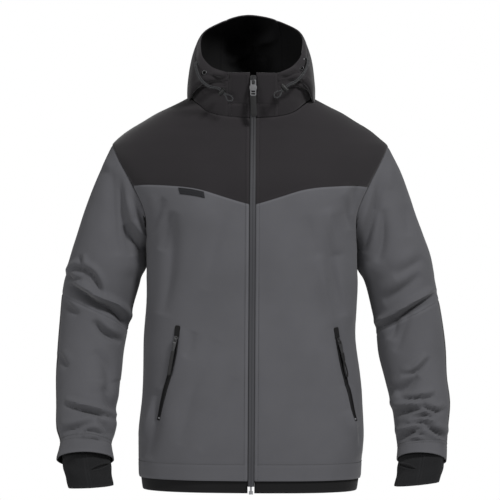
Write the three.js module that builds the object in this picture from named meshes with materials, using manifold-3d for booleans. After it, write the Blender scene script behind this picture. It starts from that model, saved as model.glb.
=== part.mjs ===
// A hooded softshell jacket, hollow, hanging as it is worn, with its front zip closed.
// Millimetres. +X is the wearer's left, the front faces -Y and +Z is up.
// Shapes are worked out in heights above the hem; the last step lowers everything so that
// the origin is in the middle of the neck, where the shoulders carry the jacket.
import * as THREE from "three";
import { mergeVertices } from "three/addons/utils/BufferGeometryUtils.js";
import Module from "manifold-3d";

const wasm = await Module();
wasm.setup();

const CLOTH = 2.2; // bonded softshell, outer face to fleece
const CUFF_CLOTH = 1.8; // stretch knit
const SEAM_GAP = 0.3;
const TOP_GAP = 0.35; // between a panel and what lies on it
const LEFT = 1; // the wearer's left, +X
const RIGHT = -1;

const NECK_HEIGHT = 742; // shoulder seam at the neck, above the hem band's lower edge
const HEM_HEIGHT = 23; // lower edge of the shell, above the hem band's
const UNDERARM_HEIGHT = 479;
const SHOULDER_TIP_HEIGHT = 649;
const ZIP_EDGE = 6.2; // from the zip's middle to each front edge
const COLLAR_TOP = 783;
const COLLAR_SEAM_HEIGHT = 726; // crosswise seam of the front collar
const CHIN_WIDTH = 47.5; // from the zip's middle to the hood's front seam

const rad = (degrees) => (degrees * Math.PI) / 180;
const mix = (a, b, t) => a + (b - a) * t;
const clamp01 = (t) => Math.min(1, Math.max(0, t));
const point = (x, y, z) => new THREE.Vector3(x, y, z);
const evenly = (count, from = 0, to = 1) => Array.from({ length: count + 1 }, (_, i) => mix(from, to, i / count));

// A table with named columns, read smoothly between its rows by the first column.
function table(columns, rows) {
  const slope = (c, i) => {
    const a = rows[Math.max(i - 1, 0)];
    const b = rows[Math.min(i + 1, rows.length - 1)];
    return (b[c] - a[c]) / (b[0] - a[0]);
  };
  return (name, key) => {
    const c = columns.indexOf(name);
    const at = Math.min(Math.max(key, rows[0][0]), rows[rows.length - 1][0]);
    let low = rows.length - 2;
    while (low > 0 && rows[low][0] > at) low--;
    const span = rows[low + 1][0] - rows[low][0];
    const t = (at - rows[low][0]) / span;
    const t2 = t * t;
    const t3 = t2 * t;
    return (
      (2 * t3 - 3 * t2 + 1) * rows[low][c] +
      (t3 - 2 * t2 + t) * span * slope(c, low) +
      (3 * t2 - 2 * t3) * rows[low + 1][c] +
      (t3 - t2) * span * slope(c, low + 1)
    );
  };
}

// Level sections of the body. sway moves a section sideways; square is the superellipse's power.
const BODY = table(
  ["height", "half", "sway", "front", "back", "middle", "square"],
  [
    [0, 209, -2, 126, 120, 0, 2.6],
    [72, 212, -1.5, 128, 121, 0, 2.6],
    [118, 213, 0, 127, 119, 0, 2.6],
    [179, 209, 1.5, 124, 115, 0, 2.5],
    [224, 205, 0.2, 122, 112, 0, 2.5],
    [285, 200.5, -4, 120, 109, 0, 2.45],
    [346, 199.5, -1, 121, 109, 0, 2.4],
    [391, 200, 0, 125, 112, 0, 2.35],
    [450, 200.5, -1, 130, 118, 0, 2.3],
    [479, 203, -2, 131, 120, 0, 2.3],
    [520, 215, -3, 131, 124, 1, 2.3],
    [575, 246, -4, 124, 126, 2, 2.2],
    [619, 264, -5, 110, 121, 4, 2.1],
    [649, 263, -5, 98, 112, 5, 2.0],
    [665, 248, -5.5, 91, 105, 5, 2.0],
    [680, 229, -4.8, 84, 99, 5, 2.0],
    [695, 204, -4.7, 79, 93, 5, 2.0],
    [711, 177, -4.7, 73, 87, 5, 2.0],
    [726, 147, -4.2, 68, 81, 5, 2.0],
    [742, 117, -4, 61, 74, 5, 2.0],
    [758, 96, -4, 54, 66, 5, 2.0],
  ],
);
// Height of the front yoke's seam, by share of the way from the zip to the armhole.
const YOKE_SEAM = table(
  ["share", "height"],
  [
    [0, 537],
    [0.16, 551],
    [0.32, 564],
    [0.49, 570],
    [0.8, 573],
    [1, 571],
  ],
);
const BACK_YOKE_DIP = 12; // how far the back yoke's seam drops at the middle
const NECKLINE = table(
  ["angle", "height"],
  [
    [0, 700],
    [14, 703],
    [24, 709],
    [41, 725],
    [60, 736],
    [79, 742],
    [90, 743],
    [135, 749],
    [180, 752],
  ],
);
// Top of the collar's stand, where the hood is sewn on.
const STAND_TOP = table(
  ["angle", "height"],
  [
    [0, 757],
    [14, 757],
    [45, 757],
    [70, 757],
    [90, 759],
    [135, 766],
    [180, 770],
  ],
);
// Sleeves, by distance down from the armhole: the outer and inner edges seen from the front,
// then the middle's depth and half the sleeve's depth.
const SLEEVE_COLUMNS = ["down", "outX", "outH", "inX", "inH", "middle", "deep"];
const SLEEVES = {
  [RIGHT]: table(SLEEVE_COLUMNS, [
    [0, 268, 649, 205, 479, 5, 60],
    [36, 295, 590, 210, 474, 5, 60],
    [69, 314, 538, 209, 460, 6, 61],
    [105, 330, 490, 208.5, 438, 7, 62],
    [140, 344, 448, 209, 412, 9, 63],
    [173, 354, 410, 214, 386, 11, 62],
    [212, 361, 368, 225, 348, 13, 60],
    [257, 365, 325, 234, 308, 11, 58],
    [311, 369, 270, 243, 256, 1, 56],
    [366, 370.5, 215, 248, 205, -16, 53],
    [421, 368, 160, 254, 153, -38, 49],
    [467, 366, 115, 256, 110, -58, 45],
    [493, 358, 88, 262, 87, -70, 41],
    [522, 364, 58, 256, 59, -83, 44],
  ]),
  [LEFT]: table(SLEEVE_COLUMNS, [
    [0, 258, 649, 201, 479, 5, 60],
    [36, 286, 590, 206, 474, 5, 60],
    [69, 305, 538, 206, 460, 6, 61],
    [105, 322, 490, 206, 438, 7, 62],
    [140, 338, 448, 208, 412, 9, 63],
    [173, 347, 406, 217, 384, 11, 62],
    [212, 356, 360, 227, 345, 13, 60],
    [257, 364, 314, 236, 302, 11, 58],
    [311, 369, 265, 242, 255, 2, 56],
    [366, 371, 212, 254, 205, -12, 52],
    [421, 375, 165, 266, 157, -29, 48],
    [467, 371, 115, 272, 109, -45, 45],
    [493, 369, 86, 275, 82, -54, 42],
    [522, 367, 58, 273, 62, -64, 44],
  ]),
};
const SLEEVE_LENGTH = 522;
const ARMHOLE_DEPTH = 26; // degrees of the body that the armhole takes at front and back
const ARMHOLE_FULLNESS = 0.8;
const ARMHOLE_BLEND = 120; // how far down the sleeve the armhole's shape carries
const ELBOW_SEAM = 240;
const ELBOW_SLANT = 27; // the seam is this much higher at the outside, and lower inside
const YOKE_CORNER = 85.3; // degrees round the armhole, from its top, to the yoke's corner

// The hood, by angle round the neck. Each row is a curve from the stand's top through two
// control points to the rim. The rows for the front seams are added from the collar's shape.
const HOOD_COLUMNS = ["angle", "x1", "y1", "h1", "x2", "y2", "h2", "x3", "y3", "h3"];
const HOOD_ROWS = [
  [42, 104, -70, 750, 99, -82, 777, 76, -76, 796],
  [80, 125, -16, 695, 122, -51, 802, 95, -53, 825],
  [130, 119, 84, 737, 105, 54, 851, 86, -8, 870],
  [180, 0, 150, 762, 0, 114, 905, 0, 24, 901],
];
const HOOD_SWAY = -3.6;

// The largest folds, as seen from the front or the back: a line from start to end, bowed by
// sag, with a soft trough (depth below zero) or ridge whose half width is spread.
const FOLD_COLUMNS = ["face", "x1", "h1", "x2", "h2", "sag", "depth", "spread"];
const FOLDS = [
  ["front", -354, 398, -236, 302, 8, -5, 9],
  ["front", -350, 414, -232, 322, 10, 4, 10],
  ["front", 354, 372, 240, 308, -6, -4, 8],
  ["front", 350, 392, 236, 330, -8, 4, 10],
  ["front", -340, 128, -262, 98, -6, -4, 9],
  ["front", 362, 160, 292, 152, 5, -4, 8],
  ["front", 366, 128, 284, 112, 6, -4, 8],
  ["front", 300, 205, 278, 120, -4, -4, 9],
  ["back", -350, 360, -240, 330, 8, -5, 10],
  ["back", 350, 360, 240, 330, -8, -5, 10],
  ["back", -354, 190, -262, 170, 6, -4, 10],
  ["back", 358, 190, 266, 168, -6, -4, 10],
  ["front", -150, 520, -168, 330, 6, -4, 14],
  ["front", 150, 520, 172, 330, -6, -4, 14],
  ["front", -176, 190, -196, 60, 4, -4, 12],
  ["front", 178, 200, 198, 60, -4, 4, 12],
  ["back", -150, 470, -170, 200, 8, -5, 18],
  ["back", 150, 470, 170, 200, -8, -5, 18],
].map((row) => Object.fromEntries(row.map((value, i) => [FOLD_COLUMNS[i], value])));
const FOLD_STEPS = 8;

// How far the folds move a point of cloth along its outward normal.
function foldDepth(at, normal) {
  let depth = 0;
  for (const fold of FOLDS) {
    const facing = clamp01((fold.face === "front" ? -normal.y : normal.y) * 2.2);
    const reach = fold.spread * 3;
    const near =
      at.x > Math.min(fold.x1, fold.x2) - reach &&
      at.x < Math.max(fold.x1, fold.x2) + reach &&
      at.z > Math.min(fold.h1, fold.h2) - reach &&
      at.z < Math.max(fold.h1, fold.h2) + reach;
    if (!facing || !near) continue;
    let best = Infinity;
    let along = 0;
    for (let i = 0; i <= FOLD_STEPS; i++) {
      const t = i / FOLD_STEPS;
      const bow = fold.sag * Math.sin(Math.PI * t);
      const away = Math.hypot(at.x - mix(fold.x1, fold.x2, t) - bow, at.z - mix(fold.h1, fold.h2, t));
      if (away < best) {
        best = away;
        along = t;
      }
    }
    depth += fold.depth * facing * Math.sin(Math.PI * along) ** 0.6 * Math.exp(-((best / fold.spread) ** 2));
  }
  return depth;
}

// A surface is a function of two numbers, with the step used for its slope and the way out.
function surface(at, steps, turn = 1) {
  const slope = (a, b) => {
    const [da, db] = steps;
    const across = at(a + da, b).sub(at(a - da, b));
    const along = at(a, b + db).sub(at(a, b - db));
    return across.cross(along).normalize().multiplyScalar(turn);
  };
  return { at, normal: slope };
}
function folded(plain, steps, turn = 1) {
  const moved = (a, b) => {
    const normal = plain.normal(a, b);
    const at = plain.at(a, b);
    return at.addScaledVector(normal, foldDepth(at, normal));
  };
  return surface(moved, steps, turn);
}

// The body, by angle in degrees from the front's middle (90 is the wearer's left) and height.
const BODY_STEPS = [0.6, 1.5];
const plainBody = surface((angle, height) => {
  const [side, ahead] = [Math.sin(rad(angle)), Math.cos(rad(angle))];
  const bend = (v) => Math.sign(v) * Math.abs(v) ** (2 / BODY("square", height));
  const depth = BODY(ahead > 0 ? "front" : "back", height);
  return point(
    BODY("sway", height) + BODY("half", height) * bend(side),
    BODY("middle", height) - depth * bend(ahead),
    height,
  );
}, BODY_STEPS);
const body = folded(plainBody, BODY_STEPS);

// The angle at which a front edge lies off from the zip's middle.
function edgeAngle(offset, height) {
  const out = (offset - BODY("sway", height)) / BODY("half", height);
  return (Math.asin(Math.sign(out) * Math.abs(out) ** (BODY("square", height) / 2)) * 180) / Math.PI;
}

// Where the armhole lies on the body, by degrees round from the shoulder tip, front first.
function armhole(side, round) {
  const middle = (SHOULDER_TIP_HEIGHT + UNDERARM_HEIGHT) / 2;
  const height = middle + (SHOULDER_TIP_HEIGHT - middle) * Math.cos(rad(round));
  const bite = ARMHOLE_DEPTH * Math.abs(Math.sin(rad(round))) ** ARMHOLE_FULLNESS;
  const angle = 90 - Math.sign(Math.sin(rad(round))) * bite;
  return [side * angle, height];
}

// A sleeve, by degrees round (0 is the outside, 90 the front) and distance down.
const SLEEVE_STEPS = [2, 2];
function makeSleeve(side) {
  const read = SLEEVES[side];
  const tube = (round, down) => {
    const out = point(side * read("outX", down), read("middle", down), read("outH", down));
    const inner = point(side * read("inX", down), read("middle", down), read("inH", down));
    const middle = out.clone().add(inner).multiplyScalar(0.5);
    const across = out.clone().sub(inner).multiplyScalar(0.5);
    const rise = read("outH", down - 8) + read("inH", down - 8) - read("outH", down + 8) - read("inH", down + 8);
    const forward = Math.atan2(2 * (read("middle", down - 8) - read("middle", down + 8)), Math.max(rise, 1));
    const upward = point(-across.z * side, 0, across.x * side).normalize();
    const ahead = upward.multiplyScalar(Math.sin(forward)).add(point(0, -Math.cos(forward), 0));
    return middle
      .addScaledVector(across, Math.cos(rad(round)))
      .addScaledVector(ahead, read("deep", down) * Math.sin(rad(round)));
  };
  const start = (round) => body.at(...armhole(side, round)).sub(tube(round, 0));
  const plain = surface(
    (round, down) => {
      const fade = clamp01(1 - down / ARMHOLE_BLEND) ** 2;
      return tube(round, down).addScaledVector(start(round), fade);
    },
    SLEEVE_STEPS,
    side,
  );
  return folded(plain, SLEEVE_STEPS, side);
}
const sleeves = { [LEFT]: makeSleeve(LEFT), [RIGHT]: makeSleeve(RIGHT) };

// The mitre at the armhole, shared by the body's edge and the sleeve's.
function armholeNormal(side, round) {
  const sleeveOut = sleeves[side].normal(round, 3);
  return body.normal(...armhole(side, round)).add(sleeveOut).normalize();
}

// The collar stands on the neckline and leans forward in front.
const COLLAR_LEAN = { front: 0.25, back: 0.12, side: -0.06 };
const turnedFrom = (angle) => Math.abs(((angle + 540) % 360) - 180);
const neckHeight = (angle) => NECKLINE("height", turnedFrom(angle));
const standHeight = (angle) => STAND_TOP("height", turnedFrom(angle));
const collar = surface((angle, height) => {
  const at = plainBody.at(angle, neckHeight(angle));
  const up = height - neckHeight(angle);
  const ahead = Math.cos(rad(angle));
  at.x += COLLAR_LEAN.side * Math.sin(rad(angle)) * up;
  at.y -= (ahead > 0 ? COLLAR_LEAN.front : COLLAR_LEAN.back) * ahead * up;
  return at.setZ(height);
}, BODY_STEPS);
function neckNormal(angle) {
  const foot = neckHeight(angle);
  return body.normal(angle, foot).add(collar.normal(angle, foot + 4)).normalize();
}

// Points round the neck that every piece sewn there shares.
const seamAngle = (side) => side * edgeAngle(side * CHIN_WIDTH, NECKLINE("height", 14));
const neckAngles = (side) => {
  const edge = side * edgeAngle(side * ZIP_EDGE, NECKLINE("height", 0));
  return [...evenly(3, edge, seamAngle(side)), ...evenly(6, seamAngle(side), 90).slice(1)];
};
const hoodAngles = [
  ...neckAngles(LEFT).slice(3),
  ...evenly(14, 90, 270).slice(1, -1),
  ...neckAngles(RIGHT).slice(3).reverse().map((angle) => 360 - angle),
];

// The hood's front seam is straight and lies on the collar's own surface.
function frontSeamRow(angle) {
  const rise = (t) => collar.at(angle, mix(standHeight(angle), COLLAR_TOP, t)).toArray();
  const [one, two, three] = [rise(1 / 3), rise(2 / 3), rise(1)];
  return [angle, one[0] - HOOD_SWAY, ...one.slice(1), two[0] - HOOD_SWAY, ...two.slice(1), three[0] - HOOD_SWAY, ...three.slice(1)];
}
const mirrored = HOOD_ROWS.slice(0, -1)
  .reverse()
  .map(([angle, ...xyh]) => [360 - angle, ...xyh.map((v, i) => (i % 3 ? v : -v))]);
const HOOD = table(HOOD_COLUMNS, [
  frontSeamRow(seamAngle(LEFT)),
  ...HOOD_ROWS,
  ...mirrored,
  frontSeamRow(360 - seamAngle(RIGHT)),
]);

// The hood, by angle and share of the way up from the stand to the rim.
const hood = surface(
  (angle, up) => {
    const foot = collar.at(angle, standHeight(angle));
    const control = (n) => point(HOOD("x" + n, angle) + HOOD_SWAY, HOOD("y" + n, angle), HOOD("h" + n, angle));
    const curve = new THREE.CubicBezierCurve3(foot, control(1), control(2), control(3));
    return curve.getPoint(clamp01(up));
  },
  [1, 0.02],
);
const onFrontSeam = (angle) => Math.min(angle - seamAngle(LEFT), 360 - seamAngle(RIGHT) - angle) < 1e-6;
function hoodNormal(angle, up) {
  const out = hood.normal(angle, Math.min(Math.max(up, 0.03), 0.97));
  if (onFrontSeam(angle)) out.add(collar.normal(angle, mix(standHeight(angle), COLLAR_TOP, up)));
  if (up < 0.001) out.add(collar.normal(angle, standHeight(angle) - 2));
  return out.normalize();
}

// A place on a surface: x runs across, y down the piece and z out of it.
function placeOn(on, a, b, raised = 0, down = point(0, 0, -1)) {
  const out = on.normal(a, b);
  const along = down.clone().addScaledVector(out, -down.dot(out)).normalize();
  const across = along.clone().cross(out);
  const at = on.at(a, b).addScaledVector(out, raised);
  return new THREE.Matrix4().makeBasis(across, along, out).setPosition(at);
}

// Solids for the small hard parts, drawn in millimetres about their own origin.
function toSolid(geometry) {
  const plain = new THREE.BufferGeometry().setAttribute("position", geometry.getAttribute("position"));
  const merged = mergeVertices(plain.setIndex(geometry.index), 1e-4);
  const triVerts = new Uint32Array(merged.index.array);
  return new Manifold(new wasm.Mesh({ numProp: 3, vertProperties: merged.attributes.position.array, triVerts }));
}
function fromSolid(solid) {
  const mesh = solid.getMesh();
  const geometry = new THREE.BufferGeometry();
  geometry.setAttribute("position", new THREE.BufferAttribute(new Float32Array(mesh.vertProperties), 3));
  geometry.setIndex(Array.from(mesh.triVerts));
  return geometry;
}
const placeSolid = (solid, matrix) => solid.transform(matrix.elements);
const flatPiece = (corners, thickness) => new CrossSection([corners]).extrude(thickness);
const box = (x0, x1, y0, y1, z0, z1) => Manifold.cube([x1 - x0, y1 - y0, z1 - z0]).translate([x0, y0, z0]);
const ellipse = (a, b, sides) => {
  const turn = (i) => rad((360 * i) / sides);
  return new CrossSection([Array.from({ length: sides }, (_, i) => [a * Math.cos(turn(i)), b * Math.sin(turn(i))])]);
};

// Closed geometry from two nets of points, outer and inner, that face each other.
function shell(outer, inner, closed) {
  const rows = outer.length;
  const cols = outer[0].length;
  const flat = [...outer, ...inner].flat();
  const index = [];
  const quad = (a, b, c, d) => index.push(a, b, c, a, c, d);
  const id = (layer, i, j) => (layer * rows + i) * cols + (j % cols);
  const wide = closed ? cols : cols - 1;
  for (let i = 0; i < rows - 1; i++) {
    for (let j = 0; j < wide; j++) {
      quad(id(0, i, j), id(0, i, j + 1), id(0, i + 1, j + 1), id(0, i + 1, j));
      quad(id(1, i, j), id(1, i + 1, j), id(1, i + 1, j + 1), id(1, i, j + 1));
    }
    if (closed) continue;
    quad(id(0, i, 0), id(0, i + 1, 0), id(1, i + 1, 0), id(1, i, 0));
    quad(id(0, i, cols - 1), id(1, i, cols - 1), id(1, i + 1, cols - 1), id(0, i + 1, cols - 1));
  }
  for (let j = 0; j < wide; j++) {
    quad(id(0, 0, j), id(1, 0, j), id(1, 0, j + 1), id(0, 0, j + 1));
    quad(id(0, rows - 1, j), id(0, rows - 1, j + 1), id(1, rows - 1, j + 1), id(1, rows - 1, j));
  }
  const geometry = new THREE.BufferGeometry();
  geometry.setAttribute("position", new THREE.Float32BufferAttribute(flat.flatMap((p) => p.toArray()), 3));
  geometry.setIndex(volume(flat, index) < 0 ? index.reverse() : index);
  return geometry;
}
function volume(points, index) {
  let sum = 0;
  for (let i = 0; i < index.length; i += 3) {
    const [a, b, c] = [points[index[i]], points[index[i + 1]], points[index[i + 2]]];
    sum += a.dot(b.clone().cross(c)) / 6;
  }
  return sum;
}

// A cut piece of cloth. map turns the piece's own u and v into a place on the surface;
// normals may be given for edges that are mitred. Each edge stops half a seam gap short.
function cloth({ on, map, us, vs, closed = false, normalAt = null, thickness = CLOTH, raised = 0 }) {
  const outer = [];
  const normals = [];
  for (const v of vs) {
    const places = us.map((u) => [map(u, v), u]);
    const found = places.map(([[a, b], u]) => (normalAt && normalAt(u, v, a, b)) || on.normal(a, b));
    normals.push(found);
    outer.push(places.map(([[a, b]], j) => on.at(a, b).addScaledVector(found[j], raised)));
  }
  trimEdges(outer, normals, closed);
  const inner = outer.map((row, i) => row.map((p, j) => p.clone().addScaledVector(normals[i][j], -thickness)));
  return shell(outer, inner, closed);
}
function trimEdges(net, normals, closed) {
  const rows = net.length;
  const cols = net[0].length;
  const before = net.map((row) => row.map((p) => p.clone()));
  const pull = (i, j, along, inward) => {
    const tangent = before[along[1]][along[3]].clone().sub(before[along[0]][along[2]]);
    const step = tangent.cross(normals[i][j]).normalize();
    const towards = before[inward[0]][inward[1]].clone().sub(before[i][j]);
    net[i][j].addScaledVector(step, (Math.sign(step.dot(towards)) * SEAM_GAP) / 2);
  };
  const around = (j) => (closed ? [(j + cols - 1) % cols, (j + 1) % cols] : [Math.max(j - 1, 0), Math.min(j + 1, cols - 1)]);
  for (let j = 0; j < cols; j++) {
    pull(0, j, [0, 0, ...around(j)], [1, j]);
    pull(rows - 1, j, [rows - 1, rows - 1, ...around(j)], [rows - 2, j]);
  }
  if (closed) return;
  for (let i = 0; i < rows; i++) {
    const near = [Math.max(i - 1, 0), Math.min(i + 1, rows - 1)];
    pull(i, 0, [...near, 0, 0], [i, 1]);
    pull(i, cols - 1, [...near, cols - 1, cols - 1], [i, cols - 2]);
  }
}

// Fills a piece's outline, given as four edges in a surface's own numbers.
function patch({ bottom, top, left, right }) {
  return (u, v) =>
    [0, 1].map(
      (k) =>
        (1 - v) * bottom(u)[k] +
        v * top(u)[k] +
        (1 - u) * left(v)[k] +
        u * right(v)[k] -
        (1 - u) * (1 - v) * bottom(0)[k] -
        u * (1 - v) * bottom(1)[k] -
        (1 - u) * v * top(0)[k] -
        u * v * top(1)[k],
    );
}

const ARM_STEPS = 6; // points between the armhole's top, the yoke's corner and the underarm
const SIDE_STEPS = 10;
const SIDE_SHARE = 0.62; // share of the lower panels' edge that is side seam
const lowerRows = [...evenly(SIDE_STEPS, 0, SIDE_SHARE), ...evenly(ARM_STEPS, SIDE_SHARE, 1).slice(1)];
const SHOULDER_STEPS = 4;
const FRONT_COLUMNS = 9 + SHOULDER_STEPS;
const BACK_COLUMNS = 14 + 2 * SHOULDER_STEPS;

// The edge from the hem up the side seam and round the armhole to the yoke's corner.
function sideEdge(side, facing, v) {
  if (v <= SIDE_SHARE) return [side * 90, mix(HEM_HEIGHT, UNDERARM_HEIGHT, v / SIDE_SHARE)];
  const round = mix(180, YOKE_CORNER, (v - SIDE_SHARE) / (1 - SIDE_SHARE));
  return armhole(side, facing === "front" ? round : 360 - round);
}
function armEdge(side, facing, v) {
  const round = mix(YOKE_CORNER, 0, v);
  return armhole(side, facing === "front" ? round : 360 - round);
}
const whole = (angle) => (angle < 0 ? angle + 360 : angle);
const behind = ([angle, height]) => [whole(angle), height];

// The seam between a front and its yoke, by share from the zip to the armhole.
function yokeSeam(side, u) {
  const [corner, height] = armhole(side, YOKE_CORNER);
  if (u === 1) return [corner, height];
  return [mix(edgeAngle(side * ZIP_EDGE, YOKE_SEAM("height", 0)), corner, u), YOKE_SEAM("height", u)];
}
// A front edge beside the zip, between two heights.
const frontEdge = (side, from, to) => (v) => {
  const height = mix(from, to, v);
  return [edgeAngle(side * ZIP_EDGE, height), height];
};
function frontPanel(side) {
  const map = patch({
    bottom: (u) => [mix(edgeAngle(side * ZIP_EDGE, HEM_HEIGHT), side * 90, u), HEM_HEIGHT],
    top: (u) => yokeSeam(side, u),
    left: frontEdge(side, HEM_HEIGHT, YOKE_SEAM("height", 0)),
    right: (v) => sideEdge(side, "front", v),
  });
  const normalAt = (u, v) => {
    if (u < 1 || v < SIDE_SHARE) return null;
    return armholeNormal(side, mix(180, YOKE_CORNER, (v - SIDE_SHARE) / (1 - SIDE_SHARE)));
  };
  return cloth({ on: body, map, us: evenly(FRONT_COLUMNS), vs: lowerRows, normalAt });
}

// The shoulder seam from the neck to the tip, on a side's 90 degree line.
const shoulderSeam = (side) =>
  evenly(SHOULDER_STEPS, NECKLINE("height", 90), SHOULDER_TIP_HEIGHT).map((height) => [side * 90, height]);
function frontYoke(side) {
  const neck = neckAngles(side).map((angle) => [side * angle, NECKLINE("height", angle)]);
  const top = [...neck, ...shoulderSeam(side).slice(1)];
  const map = patch({
    bottom: (u) => yokeSeam(side, u),
    top: (u) => top[Math.round(u * FRONT_COLUMNS)],
    left: frontEdge(side, YOKE_SEAM("height", 0), neck[0][1]),
    right: (v) => armEdge(side, "front", v),
  });
  const normalAt = (u, v, angle) => {
    if (u === 1) return armholeNormal(side, mix(YOKE_CORNER, 0, v));
    return v === 1 && Math.abs(angle) < 90.01 && Math.round(u * FRONT_COLUMNS) < neck.length ? neckNormal(angle) : null;
  };
  return cloth({ on: body, map, us: evenly(FRONT_COLUMNS), vs: evenly(ARM_STEPS), normalAt });
}

// The back's pieces run from the wearer's left side, at u 0, round to the right.
function backSeam(u) {
  const [angle, height] = armhole(LEFT, 360 - YOKE_CORNER);
  return [mix(angle, 360 - angle, u), height - BACK_YOKE_DIP * Math.sin(Math.PI * u)];
}
function backPanel() {
  const map = patch({
    bottom: (u) => [mix(90, 270, u), HEM_HEIGHT],
    top: backSeam,
    left: (v) => sideEdge(LEFT, "back", v),
    right: (v) => behind(sideEdge(RIGHT, "back", v)),
  });
  const normalAt = (u, v) => {
    if ((u > 0 && u < 1) || v < SIDE_SHARE) return null;
    return armholeNormal(u ? RIGHT : LEFT, 360 - mix(180, YOKE_CORNER, (v - SIDE_SHARE) / (1 - SIDE_SHARE)));
  };
  return cloth({ on: body, map, us: evenly(BACK_COLUMNS), vs: lowerRows, normalAt });
}
function backYoke() {
  const neck = evenly(14, 90, 270).map((angle) => [angle, neckHeight(angle)]);
  const top = [
    ...shoulderSeam(LEFT).reverse(),
    ...neck.slice(1, -1),
    ...shoulderSeam(RIGHT).map(behind),
  ];
  const map = patch({
    bottom: backSeam,
    top: (u) => top[Math.round(u * BACK_COLUMNS)],
    left: (v) => armEdge(LEFT, "back", v),
    right: (v) => behind(armEdge(RIGHT, "back", v)),
  });
  const normalAt = (u, v, angle) => {
    if (u === 0 || u === 1) return armholeNormal(u ? RIGHT : LEFT, 360 - mix(YOKE_CORNER, 0, v));
    const column = Math.round(u * BACK_COLUMNS);
    const onNeck = column >= SHOULDER_STEPS && column <= BACK_COLUMNS - SHOULDER_STEPS;
    return v === 1 && onNeck ? neckNormal(angle) : null;
  };
  return cloth({ on: body, map, us: evenly(BACK_COLUMNS), vs: evenly(ARM_STEPS), normalAt });
}

// The elastic band that shows below the shell's hem, drawn in towards its lower edge.
const BAND_TUCK = [7, 3];
const BAND_HEIGHT = HEM_HEIGHT + 6;
function hemBand() {
  const tucked = surface((angle, height) => {
    const at = body.at(angle, HEM_HEIGHT);
    const out = body.normal(angle, HEM_HEIGHT).setZ(0).normalize();
    at.addScaledVector(out, -mix(BAND_TUCK[0], BAND_TUCK[1], height / BAND_HEIGHT));
    return at.setZ(height);
  }, BODY_STEPS);
  const start = edgeAngle(ZIP_EDGE, 0);
  const end = 360 + edgeAngle(-ZIP_EDGE, 0);
  const map = (u, v) => [mix(start, end, u), mix(0, BAND_HEIGHT, v)];
  return cloth({ on: tucked, map, us: evenly(40), vs: [0, 0.5, 1], thickness: 2 });
}

// Degrees round the sleeve that match the points of the body's armhole edges.
const ARM_ROUND = [
  ...evenly(ARM_STEPS, 0, YOKE_CORNER),
  ...evenly(ARM_STEPS, YOKE_CORNER, 180).slice(1),
  ...evenly(ARM_STEPS, 180, 360 - YOKE_CORNER).slice(1),
  ...evenly(ARM_STEPS, 360 - YOKE_CORNER, 360).slice(1, -1),
];
const FOREARM_BACK = [16, 25]; // the dark back panel's first and last point round the sleeve
const elbow = (round) => ELBOW_SEAM - ELBOW_SLANT * Math.cos(rad(round));

function upperSleeve(side) {
  const on = sleeves[side];
  const normalAt = (u, v, round) => (v === 0 ? armholeNormal(side, round) : null);
  const map = (u, v) => [u, elbow(u) * v ** 1.3];
  return cloth({ on, map, us: ARM_ROUND, vs: evenly(9), closed: true, normalAt });
}
function forearm(side, part) {
  const [first, last] = FOREARM_BACK;
  const all = ARM_ROUND.length;
  const round = (i) => ARM_ROUND[i % all] + 360 * Math.floor(i / all);
  const us =
    part === "back"
      ? evenly(last - first, first, last).map(round)
      : evenly(first + all - last, last - all, first).map(round);
  const map = (u, v) => [u, mix(elbow(u), SLEEVE_LENGTH, v)];
  return cloth({ on: sleeves[side], map, us, vs: evenly(11) });
}

const { Manifold, CrossSection } = wasm;

// The knit storm cuff hangs out of the sleeve's mouth. tip tilts its lower edge.
const CUFF = {
  [RIGHT]: { x: 298, middle: -97, height: 9, half: 42, deep: 31, tip: -3 },
  [LEFT]: { x: 310, middle: -79, height: 16, half: 42, deep: 31, tip: 4 },
};
const CUFF_ROOT = 496; // distance down the sleeve where the cuff is sewn in
const CUFF_SEAMS = [90, 270];
function cuffSurface(side) {
  const { x, middle, height, half, deep, tip } = CUFF[side];
  return surface(
    (round, along) => {
      const [c, s] = [Math.cos(rad(round)), Math.sin(rad(round))];
      const root = sleeves[side]
        .at(round, CUFF_ROOT)
        .addScaledVector(sleeves[side].normal(round, CUFF_ROOT), -(CLOTH + SEAM_GAP));
      const end = point(side * (x + half * c), middle - deep * s, height + tip * c);
      const inward = mix(root.x, end.x, clamp01(along) ** 1.8);
      return root.lerp(end, along).setX(inward);
    },
    [2, 0.02],
    side,
  );
}
function cuffHalf(side, part) {
  const [front, back] = CUFF_SEAMS;
  const on = cuffSurface(side);
  const us = part === "thumb" ? evenly(12, front, back) : evenly(12, back - 360, front);
  const wall = cloth({ on, map: (u, v) => [u, v], us, vs: evenly(6), thickness: CUFF_CLOTH });
  if (part !== "thumb") return wall;
  const hole = ellipse(THUMB.length / 2, THUMB.gape / 2, 14).extrude(24, 0, 0, [1, 1], true);
  return fromSolid(toSolid(wall).subtract(placeSolid(hole, placeOn(on, THUMB.round, THUMB.along))));
}
// The thumb's opening, a lens in the cuff's inner half: where its middle is, and its size.
const THUMB = { round: 116, along: 0.68, length: 34, gape: 9 };

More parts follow.
